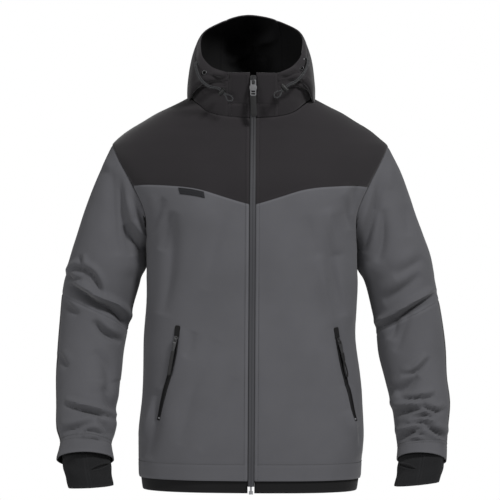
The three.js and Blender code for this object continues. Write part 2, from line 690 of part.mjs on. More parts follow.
// The collar and hood.
function collarPiece(angles, low, high, rows, mitre = () => null) {
  const map = (u, v) => [u, mix(low(u), high(u), v)];
  return cloth({ on: collar, map, us: angles, vs: evenly(rows), normalAt: mitre });
}
const chinAngles = (side) => neckAngles(side).slice(0, 4).map((angle) => side * angle);
function collarFront(side) {
  const mitre = (u, v) => (v === 0 ? neckNormal(u) : null);
  return collarPiece(chinAngles(side), neckHeight, () => COLLAR_SEAM_HEIGHT, 2, mitre);
}
function chinGuard(side) {
  const mitre = (u, v, angle, height) => {
    const turned = (angle + 360) % 360;
    const up = (height - standHeight(angle)) / (COLLAR_TOP - standHeight(angle));
    return onFrontSeam(turned) && up > 0 ? hoodNormal(turned, up) : null;
  };
  return collarPiece(chinAngles(side), () => COLLAR_SEAM_HEIGHT, () => COLLAR_TOP, 4, mitre);
}
function collarStand() {
  const mitre = (u, v) => {
    if (v === 0) return neckNormal(u);
    return v === 1 ? hoodNormal(u, 0) : null;
  };
  return collarPiece(hoodAngles, neckHeight, standHeight, 2, mitre);
}
const HOOD_CENTRE = [11, 15]; // points round the hood where the middle panel is sewn in
function hoodPiece(first, last) {
  const us = hoodAngles.slice(first, last + 1);
  return cloth({ on: hood, map: (u, v) => [u, v], us, vs: evenly(10), normalAt: hoodNormal });
}

// What lies on a front is placed by x and height on the panel's own faces.
const fronts = new THREE.Group();
for (const side of [LEFT, RIGHT]) fronts.add(new THREE.Mesh(frontPanel(side)));
const frontFace = surface((x, height) => {
  const ray = new THREE.Raycaster(point(x, -400, height), point(0, 1, 0));
  return ray.intersectObject(fronts)[0].point.clone();
}, [4, 4]);
// The zip lies between the fronts and goes on up the collar.
const zipFace = surface((x, height) => {
  if (height < neckHeight(0)) return body.at(edgeAngle(x, height), height);
  return collar.at(edgeAngle(x, NECKLINE("height", 0)), height);
}, [1, 1]);
const ZIP = { bottom: 12.8, top: 762, thickness: 1.6 };
function zipStrip() {
  const map = (u, v) => [mix(-ZIP_EDGE, ZIP_EDGE, u), mix(ZIP.bottom, ZIP.top, v)];
  return cloth({ on: zipFace, map, us: [0, 1], vs: evenly(24), thickness: ZIP.thickness });
}

// A slider is a plate with a bridge over it; the pull's crossbar lies under the bridge.
const MAIN_SLIDER = { half: 5.8, tail: 4.4, top: -9, bottom: 12, plate: 1.8, bridge: 6, rise: 5.4, wide: 2.4 };
const POCKET_SLIDER = { half: 3.6, tail: 3, top: -6, bottom: 7, plate: 1.4, bridge: 4.6, rise: 4.6, wide: 1.8 };
const PIN_HEIGHT = 1.7; // the hinge's height above the plate
function slider({ half, tail, top, bottom, plate, bridge, rise, wide }) {
  const outline = [
    [-half, top + 2.5],
    [-half + 2, top],
    [half - 2, top],
    [half, top + 2.5],
    [tail, bottom],
    [-tail, bottom],
  ];
  const arch = box(-wide / 2, wide / 2, -bridge, bridge, 0, plate + rise - 1.6);
  const hole = box(-wide, wide, -bridge + 1.7, bridge - 1.7, plate, plate + 3.1);
  return flatPiece(outline, plate).add(arch.subtract(hole));
}
// The pull's metal link turns about its crossbar at the origin and hangs along y.
function pullLink({ edge, neck, length, windows, tongue }) {
  const rightSide = [...edge, [neck, length], [neck * 0.7, length + tongue]];
  const outline = [...rightSide, ...rightSide.map(([x, y]) => [-x, y]).reverse()];
  const openings = windows.map(([half, from, to]) => box(-half, half, from, to, -2, 2));
  return openings.reduce(
    (link, opening) => link.subtract(opening),
    flatPiece(outline, 1.6).translate([0, 0, -0.8]),
  );
}
const MAIN_LINK = {
  edge: [
    [4.6, -0.8],
    [5.4, 2],
    [5.4, 9.5],
    [6.8, 12.5],
    [6.8, 16],
    [5.6, 18.5],
    [5.6, 28.2],
  ],
  windows: [
    [2.4, 0.8, 8],
    [3.6, 19.6, 22.6],
    [3.6, 24.2, 27],
  ],
  neck: 4.2,
  length: 28.6,
  tongue: 6,
};
const POCKET_LINK = {
  edge: [
    [3.4, -0.8],
    [3.8, 5],
    [3.8, 9],
  ],
  windows: [[1.6, 0.8, 5.6]],
  neck: 2.6,
  length: 22,
  tongue: 5,
};
// A flat tab holds the link's tongue in a pocket.
function pullTab({ half, length, thick }, link) {
  const end = link.length + link.tongue;
  const outline = [
    [-half, link.length + 0.4],
    [half, link.length + 0.4],
    [half, end + length - 3],
    [half - 2.4, end + length],
    [-half + 2.4, end + length],
    [-half, end + length - 3],
  ];
  const pocket = box(-link.neck - 0.3, link.neck + 0.3, link.length - 1, end + 0.3, -1, 1);
  return flatPiece(outline, thick).translate([0, 0, -thick / 2]).subtract(pocket);
}
// The other pocket's pull is a cord loop on a moulded stem.
function pullLoop({ radius, half, stem, length }, link) {
  const end = link.length + link.tongue;
  const reach = [end + stem + half, end + stem + length - half];
  const bend = (t) => {
    const turn = rad(180 * t);
    return t < 1
      ? [half * Math.cos(turn), reach[1] + half * Math.sin(turn)]
      : [half * Math.cos(turn), reach[0] + half * Math.sin(turn)];
  };
  const ring = [...evenly(7, 0, 0.999), ...evenly(7, 1, 1.999)].map((t) => point(...bend(t), 0));
  const loop = toSolid(tube(ring, radius, 8, true));
  const pocket = box(-link.neck - 0.3, link.neck + 0.3, link.length - 1, end + 0.3, -1, 1);
  const handle = flatPiece(
    [
      [-3.4, link.length + 0.4],
      [3.4, link.length + 0.4],
      [2.6, reach[0] - half + 1],
      [-2.6, reach[0] - half + 1],
    ],
    3.2,
  ).translate([0, 0, -1.6]);
  return fromSolid(handle.subtract(pocket).add(loop));
}

// A round cord along a line of points; closed joins its ends.
function tube(points, radius, sides, closed = false) {
  const n = points.length;
  const at = (i) => (closed ? points[(i + n) % n] : points[Math.min(Math.max(i, 0), n - 1)]);
  let side = at(1).clone().sub(at(0)).cross(point(0.13, 0.2, 1)).normalize();
  const rings = points.map((centre, i) => {
    const along = at(i + 1).clone().sub(at(i - 1)).normalize();
    side = side.addScaledVector(along, -side.dot(along)).normalize();
    const other = along.clone().cross(side);
    return Array.from({ length: sides }, (_, k) => {
      const turn = rad((360 * k) / sides);
      const reach = radius / Math.cos(Math.PI / sides);
      return centre
        .clone()
        .addScaledVector(side, reach * Math.cos(turn))
        .addScaledVector(other, reach * Math.sin(turn));
    });
  });
  const flat = rings.flat();
  const index = [];
  const id = (i, k) => (i % n) * sides + (k % sides);
  for (let i = 0; i < (closed ? n : n - 1); i++) {
    for (let k = 0; k < sides; k++) {
      index.push(id(i, k), id(i, k + 1), id(i + 1, k + 1), id(i, k), id(i + 1, k + 1), id(i + 1, k));
    }
  }
  if (!closed) {
    for (let k = 1; k < sides - 1; k++) {
      index.push(id(0, 0), id(0, k + 1), id(0, k), id(n - 1, 0), id(n - 1, k), id(n - 1, k + 1));
    }
  }
  const geometry = new THREE.BufferGeometry();
  geometry.setAttribute("position", new THREE.Float32BufferAttribute(flat.flatMap((p) => p.toArray()), 3));
  geometry.setIndex(volume(flat, index) < 0 ? index.reverse() : index);
  return geometry;
}

// The slanted pocket openings, from top to bottom, as x and height.
const POCKETS = {
  [LEFT]: [
    [160.5, 288],
    [164.5, 264],
    [170, 237],
    [178, 205],
    [183, 168],
    [187, 133],
  ],
  [RIGHT]: [
    [-140, 290],
    [-142.5, 268],
    [-147, 245],
    [-154, 216],
    [-166, 175],
    [-178, 133],
  ],
};
const POCKET_ZIP = { half: 3, raised: 0.7, thickness: 0.9 };
const GARAGE = { half: 5.6, raised: 0.7, thickness: 1.1 };
const slits = Object.fromEntries(
  [LEFT, RIGHT].map((side) => {
    const line = new THREE.CatmullRomCurve3(POCKETS[side].map(([x, height]) => point(x, 0, height)));
    return [side, (t) => line.getPoint(clamp01(t)).addScaledVector(line.getTangent(clamp01(t)), (t - clamp01(t)) * 165)];
  }),
);
// Across and down a pocket, measured on the cloth: w sideways from the slit, t along it.
function pocketPlace(side, w, t) {
  const on = (share) => frontFace.at(slits[side](share).x, slits[side](share).z);
  const down = on(t + 0.02).sub(on(t - 0.02)).normalize();
  const middle = slits[side](t);
  const across = down.cross(frontFace.normal(middle.x, middle.z)).normalize();
  const at = on(t).addScaledVector(across, w);
  return [at.x, at.z];
}
function pocketStrip(side, half, from, to, steps, { raised, thickness }) {
  const map = (u, v) => pocketPlace(side, mix(-half, half, u), mix(from, to, v));
  return cloth({ on: frontFace, map, us: [0, 1], vs: evenly(steps), thickness, raised: raised + thickness });
}
const PULL_HANG = { [LEFT]: [0.27, 0, -1], [RIGHT]: [-0.2, 0, -1] }; // the pulls lean along the slits
function pocketHinge(side) {
  const [x, height] = pocketPlace(side, 0, 0.045);
  const down = point(...PULL_HANG[side]).normalize();
  return placeOn(frontFace, x, height, POCKET_ZIP.raised + POCKET_ZIP.thickness + 0.3, down);
}

// Finds the angle and share at which a surface shows at x and height from the front.
function underPoint(on, x, height, angles, ups) {
  let best = { away: Infinity, a: mix(...angles, 0.5), b: mix(...ups, 0.5) };
  let [reachA, reachB] = [(angles[1] - angles[0]) / 2, (ups[1] - ups[0]) / 2];
  for (let round = 0; round < 7; round++) {
    const from = { ...best };
    for (const i of evenly(8, -1, 1)) {
      for (const j of evenly(8, -1, 1)) {
        const [a, b] = [from.a + i * reachA, Math.min(from.b + j * reachB, 0.97)];
        const at = on.at(a, b);
        const away = Math.hypot(at.x - x, at.z - height);
        if (away < best.away) best = { away, a, b };
      }
    }
    reachA *= 0.4;
    reachB *= 0.4;
  }
  return [best.a, best.b];
}

// Eyelets as seen from the front, and each side's cord lock with the cord's way to it.
const EYELETS = {
  [LEFT]: { upper: [97.5, 811], lower: [90.5, 793.5], angles: [20, 90] },
  [RIGHT]: { upper: [-104.5, 802], lower: [-91.5, 783.5], angles: [270, 340] },
};
const EYELET = { outer: 4.8, inner: 3, thick: 1.1, raised: 0.5 };
const eyeletPlace = (side, which) => {
  const [x, height] = EYELETS[side][which];
  return placeOn(hood, ...underPoint(hood, x, height, EYELETS[side].angles, [0.2, 0.95]), EYELET.raised);
};
function eyelet(side, which) {
  const ring = Manifold.cylinder(EYELET.thick, EYELET.outer, EYELET.outer, 14).subtract(
    Manifold.cylinder(EYELET.thick * 3, EYELET.inner, EYELET.inner, 14, true),
  );
  return fromSolid(placeSolid(ring, eyeletPlace(side, which)));
}
const CORD_RADIUS = 1.25;
const CORD_APART = 2.9; // between the two strands' middles
// Each lock: its middle, the way the cord goes in, and the hanging points on the way there.
const CORD_LOCKS = {
  [LEFT]: {
    at: [59, -98, 754],
    enter: [-0.75, -0.1, -0.65],
    way: [
      [101, -79, 797],
      [93, -89, 781],
      [78, -95, 766],
    ],
  },
  [RIGHT]: {
    at: [-58, -98, 747],
    enter: [0.74, -0.1, -0.66],
    way: [
      [-106, -79, 787],
      [-99, -89, 771],
      [-83, -95, 757],
    ],
  },
};
const LOCK = { radius: 4.6, length: 13, button: 3.3, press: 3, rim: 5.2, rimThick: 1.8 }; // it lies across the cord
function lockMatrix(side) {
  const { at, enter } = CORD_LOCKS[side];
  const along = point(...enter).normalize();
  const out = point(0, -1, 0).addScaledVector(along, along.y).normalize();
  return new THREE.Matrix4().makeBasis(along.clone().cross(out), along, out).setPosition(...at);
}
function cordLock(side) {
  const { radius, length, button, press, rim, rimThick } = LOCK;
  const barrel = Manifold.cylinder(length, radius, radius, 16, true);
  const flange = Manifold.cylinder(rimThick, rim, rim, 16).translate([0, 0, -length / 2]);
  const cap = Manifold.cylinder(press, button, button, 12).translate([0, 0, length / 2]);
  const reach = CORD_RADIUS + 0.35;
  const slot = box(-CORD_APART / 2 - reach, CORD_APART / 2 + reach, -12, 12, -reach, reach);
  const lock = barrel.add(flange).add(cap).rotate([0, 90, 0]).subtract(slot);
  return fromSolid(placeSolid(lock, lockMatrix(side)));
}
const END_LOOP = [
  [3.4, 13.5, 0.4],
  [5.2, 18.5, 0.8],
  [3.7, 23.2, 1.2],
  [0, 25.2, 1.4],
  [-3.7, 23.2, 1.2],
  [-5.2, 18.5, 0.8],
  [-3.4, 13.5, 0.4],
];
// One cord: down from the eyelet, through the lock, round its end loop and back up again.
function cord(side) {
  const start = point(0, 0, EYELET.thick * 0.9).applyMatrix4(eyeletPlace(side, "upper"));
  const out = point(0, 0, 1).transformDirection(eyeletPlace(side, "upper"));
  const frame = lockMatrix(side);
  const sideways = point(1, 0, 0).transformDirection(frame);
  const strand = (sign) => {
    const apart = (p) => p.addScaledVector(sideways, (sign * CORD_APART) / 2);
    const inLock = (y) => point((sign * CORD_APART) / 2, y, 0).applyMatrix4(frame);
    return [
      apart(start.clone()),
      apart(start.clone().addScaledVector(out, 5).add(point(0, 0, -2))),
      ...CORD_LOCKS[side].way.map((p) => apart(point(...p))),
      inLock(-9),
      inLock(0),
      inLock(9),
    ];
  };
  const points = [...strand(1), ...END_LOOP.map((p) => point(...p).applyMatrix4(frame)), ...strand(-1).reverse()];
  const line = new THREE.CatmullRomCurve3(points, false, "centripetal");
  return tube(line.getPoints(46), CORD_RADIUS, 6);
}

// The blank tag sewn just below the yoke's seam on the wearer's right.
const LABEL = { from: 0.292, to: 0.488, drop: 2.6, tall: 12, raised: 0.35, thickness: 0.8 };
function label() {
  const map = (u, v) => {
    const [angle, height] = yokeSeam(RIGHT, mix(LABEL.from, LABEL.to, u));
    return [angle, height - LABEL.drop - LABEL.tall * (1 - v)];
  };
  const raised = LABEL.raised + LABEL.thickness;
  return cloth({ on: body, map, us: evenly(6), vs: [0, 0.5, 1], thickness: LABEL.thickness, raised });
}

// Turns a hinge place so that a pull hangs plumb, or lies as close to the cloth as it can.
const tilted = (matrix, degrees) => matrix.clone().multiply(new THREE.Matrix4().makeRotationX(rad(degrees)));
function plumbTilt(matrix) {
  const down = point(0, 1, 0).transformDirection(matrix);
  const out = point(0, 0, 1).transformDirection(matrix);
  return (Math.atan2(-out.z, -down.z) * 180) / Math.PI;
}
function restTilt(matrix, half, length) {
  const clear = (degrees) =>
    evenly(10, 8, length).every((y) =>
      [-half, half].every((x) => {
        const at = point(x, y, -1.7).applyMatrix4(tilted(matrix, degrees));
        return frontFace.at(at.x, at.z).y - at.y > 0.8;
      }),
    );
  return evenly(160, -4, 16).find(clear);
}

const METAL = { color: 0x3a3a3e, roughness: 0.35, metalness: 0.9 };
const PALE_METAL = { color: 0xb9b9bc, roughness: 0.3, metalness: 0.95 };
const ZIP_TAPE = { color: 0x4b4b4f, roughness: 0.5 };
const RUBBER = { color: 0x232327, roughness: 0.6 };
const GREY = { color: 0x55555a, roughness: 0.75 };
const CHARCOAL = { color: 0x312f33, roughness: 0.8 };
const BLACK = { color: 0x1d1d21, roughness: 0.85 };

const jacket = new THREE.Group();
const hung = new THREE.Group();
hung.position.z = -NECK_HEIGHT;
jacket.add(hung);
function add(name, geometry, look) {
  const mesh = new THREE.Mesh(geometry, new THREE.MeshStandardMaterial(look));
  mesh.name = name;
  hung.add(mesh);
  return mesh;
}
// A pull turns about its group's x axis, which is the hinge.
function addPull(name, place, tilt, pieces) {
  const pull = new THREE.Group();
  pull.name = name;
  tilted(place.clone().multiply(new THREE.Matrix4().makeTranslation(0, 0, PIN_HEIGHT)), tilt).decompose(
    pull.position,
    pull.quaternion,
    pull.scale,
  );
  hung.add(pull);
  for (const [part, geometry, look] of pieces) {
    pull.add(Object.assign(new THREE.Mesh(geometry, new THREE.MeshStandardMaterial(look)), { name: part }));
  }
}
const SIDES = [
  ["left", LEFT],
  ["right", RIGHT],
];

for (const [name, side] of SIDES) {
  add(`front_${name}`, fronts.children[side === LEFT ? 0 : 1].geometry, GREY);
  add(`front_yoke_${name}`, frontYoke(side), CHARCOAL);
  add(`sleeve_upper_${name}`, upperSleeve(side), GREY);
  add(`forearm_front_${name}`, forearm(side, "front"), GREY);
  add(`forearm_back_${name}`, forearm(side, "back"), CHARCOAL);
  add(`cuff_outer_${name}`, cuffHalf(side, "outer"), BLACK);
  add(`cuff_thumb_${name}`, cuffHalf(side, "thumb"), BLACK);
  add(`collar_front_${name}`, collarFront(side), CHARCOAL);
  add(`chin_guard_${name}`, chinGuard(side), CHARCOAL);
}
add("back", backPanel(), GREY);
add("back_yoke", backYoke(), CHARCOAL);
add("hem_band", hemBand(), BLACK);
add("collar_stand", collarStand(), CHARCOAL);
add("hood_side_left", hoodPiece(0, HOOD_CENTRE[0]), CHARCOAL);
add("hood_centre", hoodPiece(...HOOD_CENTRE), CHARCOAL);
add("hood_side_right", hoodPiece(HOOD_CENTRE[1], hoodAngles.length - 1), CHARCOAL);

add("label", label(), BLACK);
add("front_zip", zipStrip(), ZIP_TAPE);
const zipEnd = placeOn(zipFace, 0, 4);
const zipBox = box(-3.8, 3.8, -0.6, 5.4, -2.4, 1.4).add(box(-2, 2, -8.6, -0.6, -1.6, 0.9));
add("front_zip_box", fromSolid(placeSolid(zipBox, zipEnd)), PALE_METAL);

const MAIN_HINGE_HEIGHT = 770;
const mainPlace = placeOn(zipFace, 0, MAIN_HINGE_HEIGHT, 0.4);
add("front_zip_slider", fromSolid(placeSolid(slider(MAIN_SLIDER), mainPlace)), METAL);
addPull(
  "front_zip_pull",
  mainPlace.clone().multiply(new THREE.Matrix4().makeTranslation(0, 0, MAIN_SLIDER.plate)),
  plumbTilt(mainPlace),
  [
    ["front_zip_link", fromSolid(pullLink(MAIN_LINK)), METAL],
    ["front_zip_tab", fromSolid(pullTab({ half: 5.5, length: 33.4, thick: 2.8 }, MAIN_LINK)), RUBBER],
  ],
);
for (const [name, side] of SIDES) {
  add(`pocket_zip_${name}`, pocketStrip(side, POCKET_ZIP.half, 0, 1, 16, POCKET_ZIP), ZIP_TAPE);
  add(`pocket_garage_${name}`, pocketStrip(side, GARAGE.half, -0.115, -0.004, 2, GARAGE), CHARCOAL);
  const place = pocketHinge(side);
  add(`pocket_slider_${name}`, fromSolid(placeSolid(slider(POCKET_SLIDER), place)), METAL);
  const hinge = place.clone().multiply(new THREE.Matrix4().makeTranslation(0, 0, POCKET_SLIDER.plate));
  const tab =
    side === LEFT
      ? pullLoop({ radius: 1.5, half: 3, stem: 10, length: 32 }, POCKET_LINK)
      : fromSolid(pullTab({ half: 3.6, length: 42, thick: 2.8 }, POCKET_LINK));
  addPull(`pocket_pull_${name}`, hinge, restTilt(hinge, 4.6, 72), [
    [`pocket_link_${name}`, fromSolid(pullLink(POCKET_LINK)), METAL],
    [`pocket_tab_${name}`, tab, RUBBER],
  ]);
  for (const which of ["upper", "lower"]) add(`eyelet_${which}_${name}`, eyelet(side, which), METAL);
  add(`cord_${name}`, cord(side), BLACK);
  add(`cord_lock_${name}`, cordLock(side), RUBBER);
}

export default jacket;
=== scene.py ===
# %% [markdown]
# # Dressing a hooded softshell jacket
#
# A softshell is a bonded cloth: a tightly woven, slightly ribbed face over black fleece. This jacket
# hangs as it does on a wearer, so it is hollow and every panel is curved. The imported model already
# holds each cut piece as a plain solid. It could be shown as it is, but it has no creases, no
# stitches and no fibre. So each piece of cloth is made again here, on the same surface, much finer.

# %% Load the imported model
import math

import bmesh
import bpy
import numpy as np
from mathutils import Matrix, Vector


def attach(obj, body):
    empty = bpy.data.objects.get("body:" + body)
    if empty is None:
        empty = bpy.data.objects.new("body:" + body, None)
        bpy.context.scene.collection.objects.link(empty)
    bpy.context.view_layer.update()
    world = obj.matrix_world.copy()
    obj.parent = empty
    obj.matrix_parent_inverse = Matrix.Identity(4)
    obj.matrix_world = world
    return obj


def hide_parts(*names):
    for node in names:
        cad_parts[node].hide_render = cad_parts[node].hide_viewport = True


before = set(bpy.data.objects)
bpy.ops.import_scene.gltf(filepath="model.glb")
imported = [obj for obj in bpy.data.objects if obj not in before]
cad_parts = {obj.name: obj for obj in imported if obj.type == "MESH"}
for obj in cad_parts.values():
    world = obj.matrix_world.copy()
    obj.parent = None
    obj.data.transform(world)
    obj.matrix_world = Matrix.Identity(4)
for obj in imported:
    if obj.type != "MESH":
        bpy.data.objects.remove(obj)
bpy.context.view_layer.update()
scene = bpy.context.scene

# %% [markdown]
# ## The camera
#
# The photo is taken from far away, level with the middle of the jacket, so its two sides hardly
# converge. A long lens at over five metres gives that. The zip leans a little in the picture, so
# the camera is turned by a third of a degree about its own axis.

# %% Set the camera
MM = 0.001
NECK_HEIGHT = 742  # millimetres from the hem band's lower edge to the frame's origin
CAMERA_AT = (-0.0042, -5.278, -0.290)
CAMERA_ROLL = math.radians(0.335)
LENS = 200
SENSOR_WIDTH = 36

camera_data = bpy.data.cameras.new("photo_camera")
camera_data.lens = LENS
camera_data.sensor_width = SENSOR_WIDTH
camera = bpy.data.objects.new("photo_camera", camera_data)
camera.location = CAMERA_AT
camera.rotation_euler = (math.radians(90), -CAMERA_ROLL, 0)
scene.collection.objects.link(camera)
scene.camera = camera
print("the view is", round(-CAMERA_AT[1] * SENSOR_WIDTH / LENS, 3), "m wide at the zip")

# %% [markdown]
# ## From heights to the frame
#
# A jacket is easiest to measure in millimetres and in heights above its hem. The frame's origin is
# in the middle of the neck, so one function lowers everything and turns it into metres.

# %% Helpers for points
def to_frame(points):
    """Millimetres above the hem, as rows of x, y and height, to metres in the frame."""
    moved = np.array(points, float)
    moved[..., 2] -= NECK_HEIGHT
    return moved * MM


def unit(vectors):
    """The same directions with a length of one."""
    length = np.linalg.norm(vectors, axis=-1, keepdims=True)
    return vectors / np.maximum(length, 1e-9)


def mix(a, b, t):
    """The value a share t of the way from a to b."""
    return a + (b - a) * t


def run_lengths(line):
    """How far along a line each of its points is."""
    return np.concatenate([[0], np.cumsum(np.linalg.norm(np.diff(line, axis=0), axis=1))])


print("the neck is", NECK_HEIGHT, "mm above the band")

# %% [markdown]
# ## The drawcords
#
# A round braided cord comes out of each upper eyelet of the hood, runs down through a cord lock,
# turns in a small loop and goes back up. It could be a curve with a bevel. A tube made point by
# point is used, because the braid needs to know how far along and how far round it is, and that
# goes into the tube's own map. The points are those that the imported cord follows.

# %% The cords' routes
CORD_DIAMETER = 2.5
CORD_ROUTES = {
    "left": [
        (97.63, -58.08, 70.67), (101.21, -60.99, 70.59), (100.05, -79, 56.1), (92.05, -89, 40.1),
        (77.05, -95, 25.1), (64.82, -97.1, 18.96), (58.05, -98, 13.1), (51.28, -98.9, 7.23),
        (46.65, -99.75, 5.8), (41.75, -100.65, 3.93), (39.22, -101.52, -0.24),
        (40.16, -101.92, -4.33), (44.07, -101.52, -5.84), (48.56, -100.65, -3.93),
        (51.11, -99.75, 0.66), (53.18, -98.9, 5.04), (59.95, -98, 10.9), (66.72, -97.1, 16.77),
        (78.95, -95, 22.9), (93.95, -89, 37.9), (101.95, -79, 53.9), (103.11, -60.99, 68.4),
        (99.53, -58.08, 68.48),
    ],
    "right": [
        (-106.45, -63.6, 59.42), (-109.74, -66.98, 59.07), (-106.97, -79, 43.92),
        (-99.97, -89, 27.92), (-83.97, -95, 13.92), (-65.65, -97.1, 9.88), (-58.97, -98, 3.92),
        (-52.28, -98.9, -2.04), (-50.27, -99.75, -6.45), (-47.78, -100.65, -11.08),
        (-43.33, -101.52, -13.05), (-39.39, -101.92, -11.6), (-38.4, -101.52, -7.52),
        (-40.86, -100.65, -3.32), (-45.74, -99.75, -1.38), (-50.35, -98.9, 0.12),
        (-57.03, -98, 6.08), (-63.72, -97.1, 12.04), (-82.03, -95, 16.08), (-98.03, -89, 30.08),
        (-105.03, -79, 46.08), (-107.81, -66.98, 61.24), (-104.52, -63.6, 61.59),
    ],
}
CORD_SIDES = 10
print("the cords have", [len(route) for route in CORD_ROUTES.values()], "points")

# %% A smooth line and a mesh
CURVE_SPANS = {1: [(0, 1), (1, 2), (2, 3)], 2: [(0, 2), (1, 3)], 3: [(1, 2)]}


def smooth_line(points, per_span):
    """A centripetal curve through the points, with per_span steps between two of them."""
    given = np.array(points, float)
    padded = np.vstack([2 * given[0] - given[1], given, 2 * given[-1] - given[-2]])
    line = []
    for i in range(len(given) - 1):
        four = padded[i : i + 4]
        knots = np.concatenate([[0], np.cumsum(np.linalg.norm(np.diff(four, axis=0), axis=1) ** 0.5)])
        for t in np.linspace(knots[1], knots[2], per_span, endpoint=False):
            line.append(curve_point(four, knots, t))
    line.append(given[-1])
    return np.array(line)


def curve_point(four, knots, t):
    """The place at knot t on the curve through the middle two of four points."""
    level = list(four)
    for reach in (1, 2, 3):
        level = [
            mix(level[i], level[i + 1], (t - knots[low]) / (knots[high] - knots[low]))
            for i, (low, high) in enumerate(CURVE_SPANS[reach])
        ]
    return level[0]


def new_object(name, points, faces, maps=None, smooth=True, materials=()):
    """A mesh object at the origin, from points in metres and faces, with a map if corners are given."""
    mesh = bpy.data.meshes.new(name)
    mesh.from_pydata([tuple(p) for p in points], [], faces)
    for key, corners in (maps or {}).items():
        layer = mesh.uv_layers.new(name=key)
        layer.data.foreach_set("uv", np.asarray(corners, np.float32).ravel())
    if smooth:
        mesh.shade_smooth()
    made = bpy.data.objects.new(name, mesh)
    for material in materials:
        mesh.materials.append(material)
    scene.collection.objects.link(made)
    return made


def tube_faces(rows, sides, closed=False):
    """Faces between rows of points that each go round a piece, and one on each open end."""
    faces = []
    for i in range(rows if closed else rows - 1):
        j = (i + 1) % rows
        for k in range(sides):
            after = (k + 1) % sides
            faces.append((i * sides + k, i * sides + after, j * sides + after, j * sides + k))
    if not closed:
        faces += [tuple(range(sides))[::-1], tuple((rows - 1) * sides + k for k in range(sides))]
    return faces

# %% Lay the two cords
def tube(name, line, radius, sides, closed=False):
    """A round tube along a line, with a map of length along and length round."""
    count = len(line)
    ahead = np.roll(line, -1, 0) - np.roll(line, 1, 0)
    if not closed:
        ahead[0] = line[1] - line[0]
        ahead[-1] = line[-1] - line[-2]
    ahead = unit(ahead)
    side = unit(np.cross(ahead[0], (0.13, 0.2, 1.0)))
    rings = []
    for i in range(count):
        side = unit(side - ahead[i] * side.dot(ahead[i]))
        other = np.cross(ahead[i], side)
        for k in range(sides):
            turn = 2 * math.pi * k / sides
            rings.append(line[i] + radius * (side * math.cos(turn) + other * math.sin(turn)))
    along = run_lengths(line)
    corners = []
    for i in range(count if closed else count - 1):
        step = along[i + 1] if i + 1 < count else along[-1] * 1.02
        for k in range(sides):
            around = [2 * math.pi * radius * q / sides for q in (k, k + 1)]
            corners += [(along[i], around[0]), (along[i], around[1]), (step, around[1]), (step, around[0])]
    if not closed:
        corners += [(0, 0)] * (2 * sides)
    return new_object(name, rings, tube_faces(count, sides, closed), {"cloth": corners})


cords = {}
for side_name, route in CORD_ROUTES.items():
    line = smooth_line(route, 5) * MM
    cord = tube(f"drawcord_{side_name}", line, CORD_DIAMETER * MM / 2, CORD_SIDES)
    length = float(run_lengths(line)[-1])
    cords[side_name] = (cord, line, length)
    print(cord.name, round(length, 4), "m")

# %% [markdown]
# ## The shape of the body
#
# The torso is a stack of level sections, each a rounded rectangle. A table gives a few of them,
# and a smooth curve is drawn through every column, so the shape has no kinks. The numbers are
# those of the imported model, so whatever is made here lies on it. Only where cloth rests on cloth, at
# the sleeves below the armholes and at the hood's lower lobes, is it moved by up to 9 mm.

# %% Read a table smoothly
def read_rows(text):
    """The numbers of a table written as text, with a row on each line."""
    return [[float(v) for v in line.split()] for line in text.strip().splitlines()]


def table(columns, rows):
    """A function of a column's name and a key, drawn smoothly through the rows."""
    rows = np.array(rows, float)
    keys = rows[:, 0]
    last = len(rows) - 1
    before = np.maximum(np.arange(last + 1) - 1, 0)
    after = np.minimum(np.arange(last + 1) + 1, last)
    slopes = (rows[after] - rows[before]) / (keys[after] - keys[before])[:, None]

    def read(name, key):
        column = columns.index(name)
        at = np.clip(np.asarray(key, float), keys[0], keys[-1])
        low = np.clip(np.searchsorted(keys, at, side="right") - 1, 0, last - 1)
        span = keys[low + 1] - keys[low]
        t = (at - keys[low]) / span
        return (
            (2 * t**3 - 3 * t**2 + 1) * rows[low, column]
            + (t**3 - 2 * t**2 + t) * span * slopes[low, column]
            + (3 * t**2 - 2 * t**3) * rows[low + 1, column]
            + (t**3 - t**2) * span * slopes[low + 1, column]
        )

    return read

# %% Sizes of the pattern, in millimetres and degrees
LEFT = 1  # the wearer's left, towards +X
RIGHT = -1
SIDES = (("left", LEFT), ("right", RIGHT))
CLOTH = 2.2  # outer face to fleece
HEM_HEIGHT = 23
UNDERARM_HEIGHT = 479
SHOULDER_TIP_HEIGHT = 649
ZIP_EDGE = 6.2
COLLAR_TOP = 783
COLLAR_SEAM_HEIGHT = 726
CHIN_WIDTH = 47.5
BACK_YOKE_DIP = 12
ARMHOLE_DEPTH = 26  # degrees of the body that the armhole takes at front and back
ARMHOLE_FULLNESS = 0.8
ARMHOLE_BLEND = 120
SLEEVE_LENGTH = 522
ELBOW_SEAM = 240
ELBOW_SLANT = 27
YOKE_CORNER = 85.3  # degrees round the armhole from the shoulder tip
print("sleeves of", SLEEVE_LENGTH, "mm and a collar up to", COLLAR_TOP)

# %% Sections of the body, the seams across it and the sleeves
BODY = table("height half sway front back middle square".split(), read_rows("""
    0 209 -2 126 120 0 2.6
    72 212 -1.5 128 121 0 2.6
    118 213 0 127 119 0 2.6
    179 209 1.5 124 115 0 2.5
    224 205 0.2 122 112 0 2.5
    285 200.5 -4 120 109 0 2.45
    346 199.5 -1 121 109 0 2.4
    391 200 0 125 112 0 2.35
    450 200.5 -1 130 118 0 2.3
    479 203 -2 131 120 0 2.3
    520 215 -3 131 124 1 2.3
    575 246 -4 124 126 2 2.2
    619 264 -5 110 121 4 2.1
    649 263 -5 98 112 5 2.0
    665 248 -5.5 91 105 5 2.0
    680 229 -4.8 84 99 5 2.0
    695 204 -4.7 79 93 5 2.0
    711 177 -4.7 73 87 5 2.0
    726 147 -4.2 68 81 5 2.0
    742 117 -4 61 74 5 2.0
    758 96 -4 54 66 5 2.0
"""))
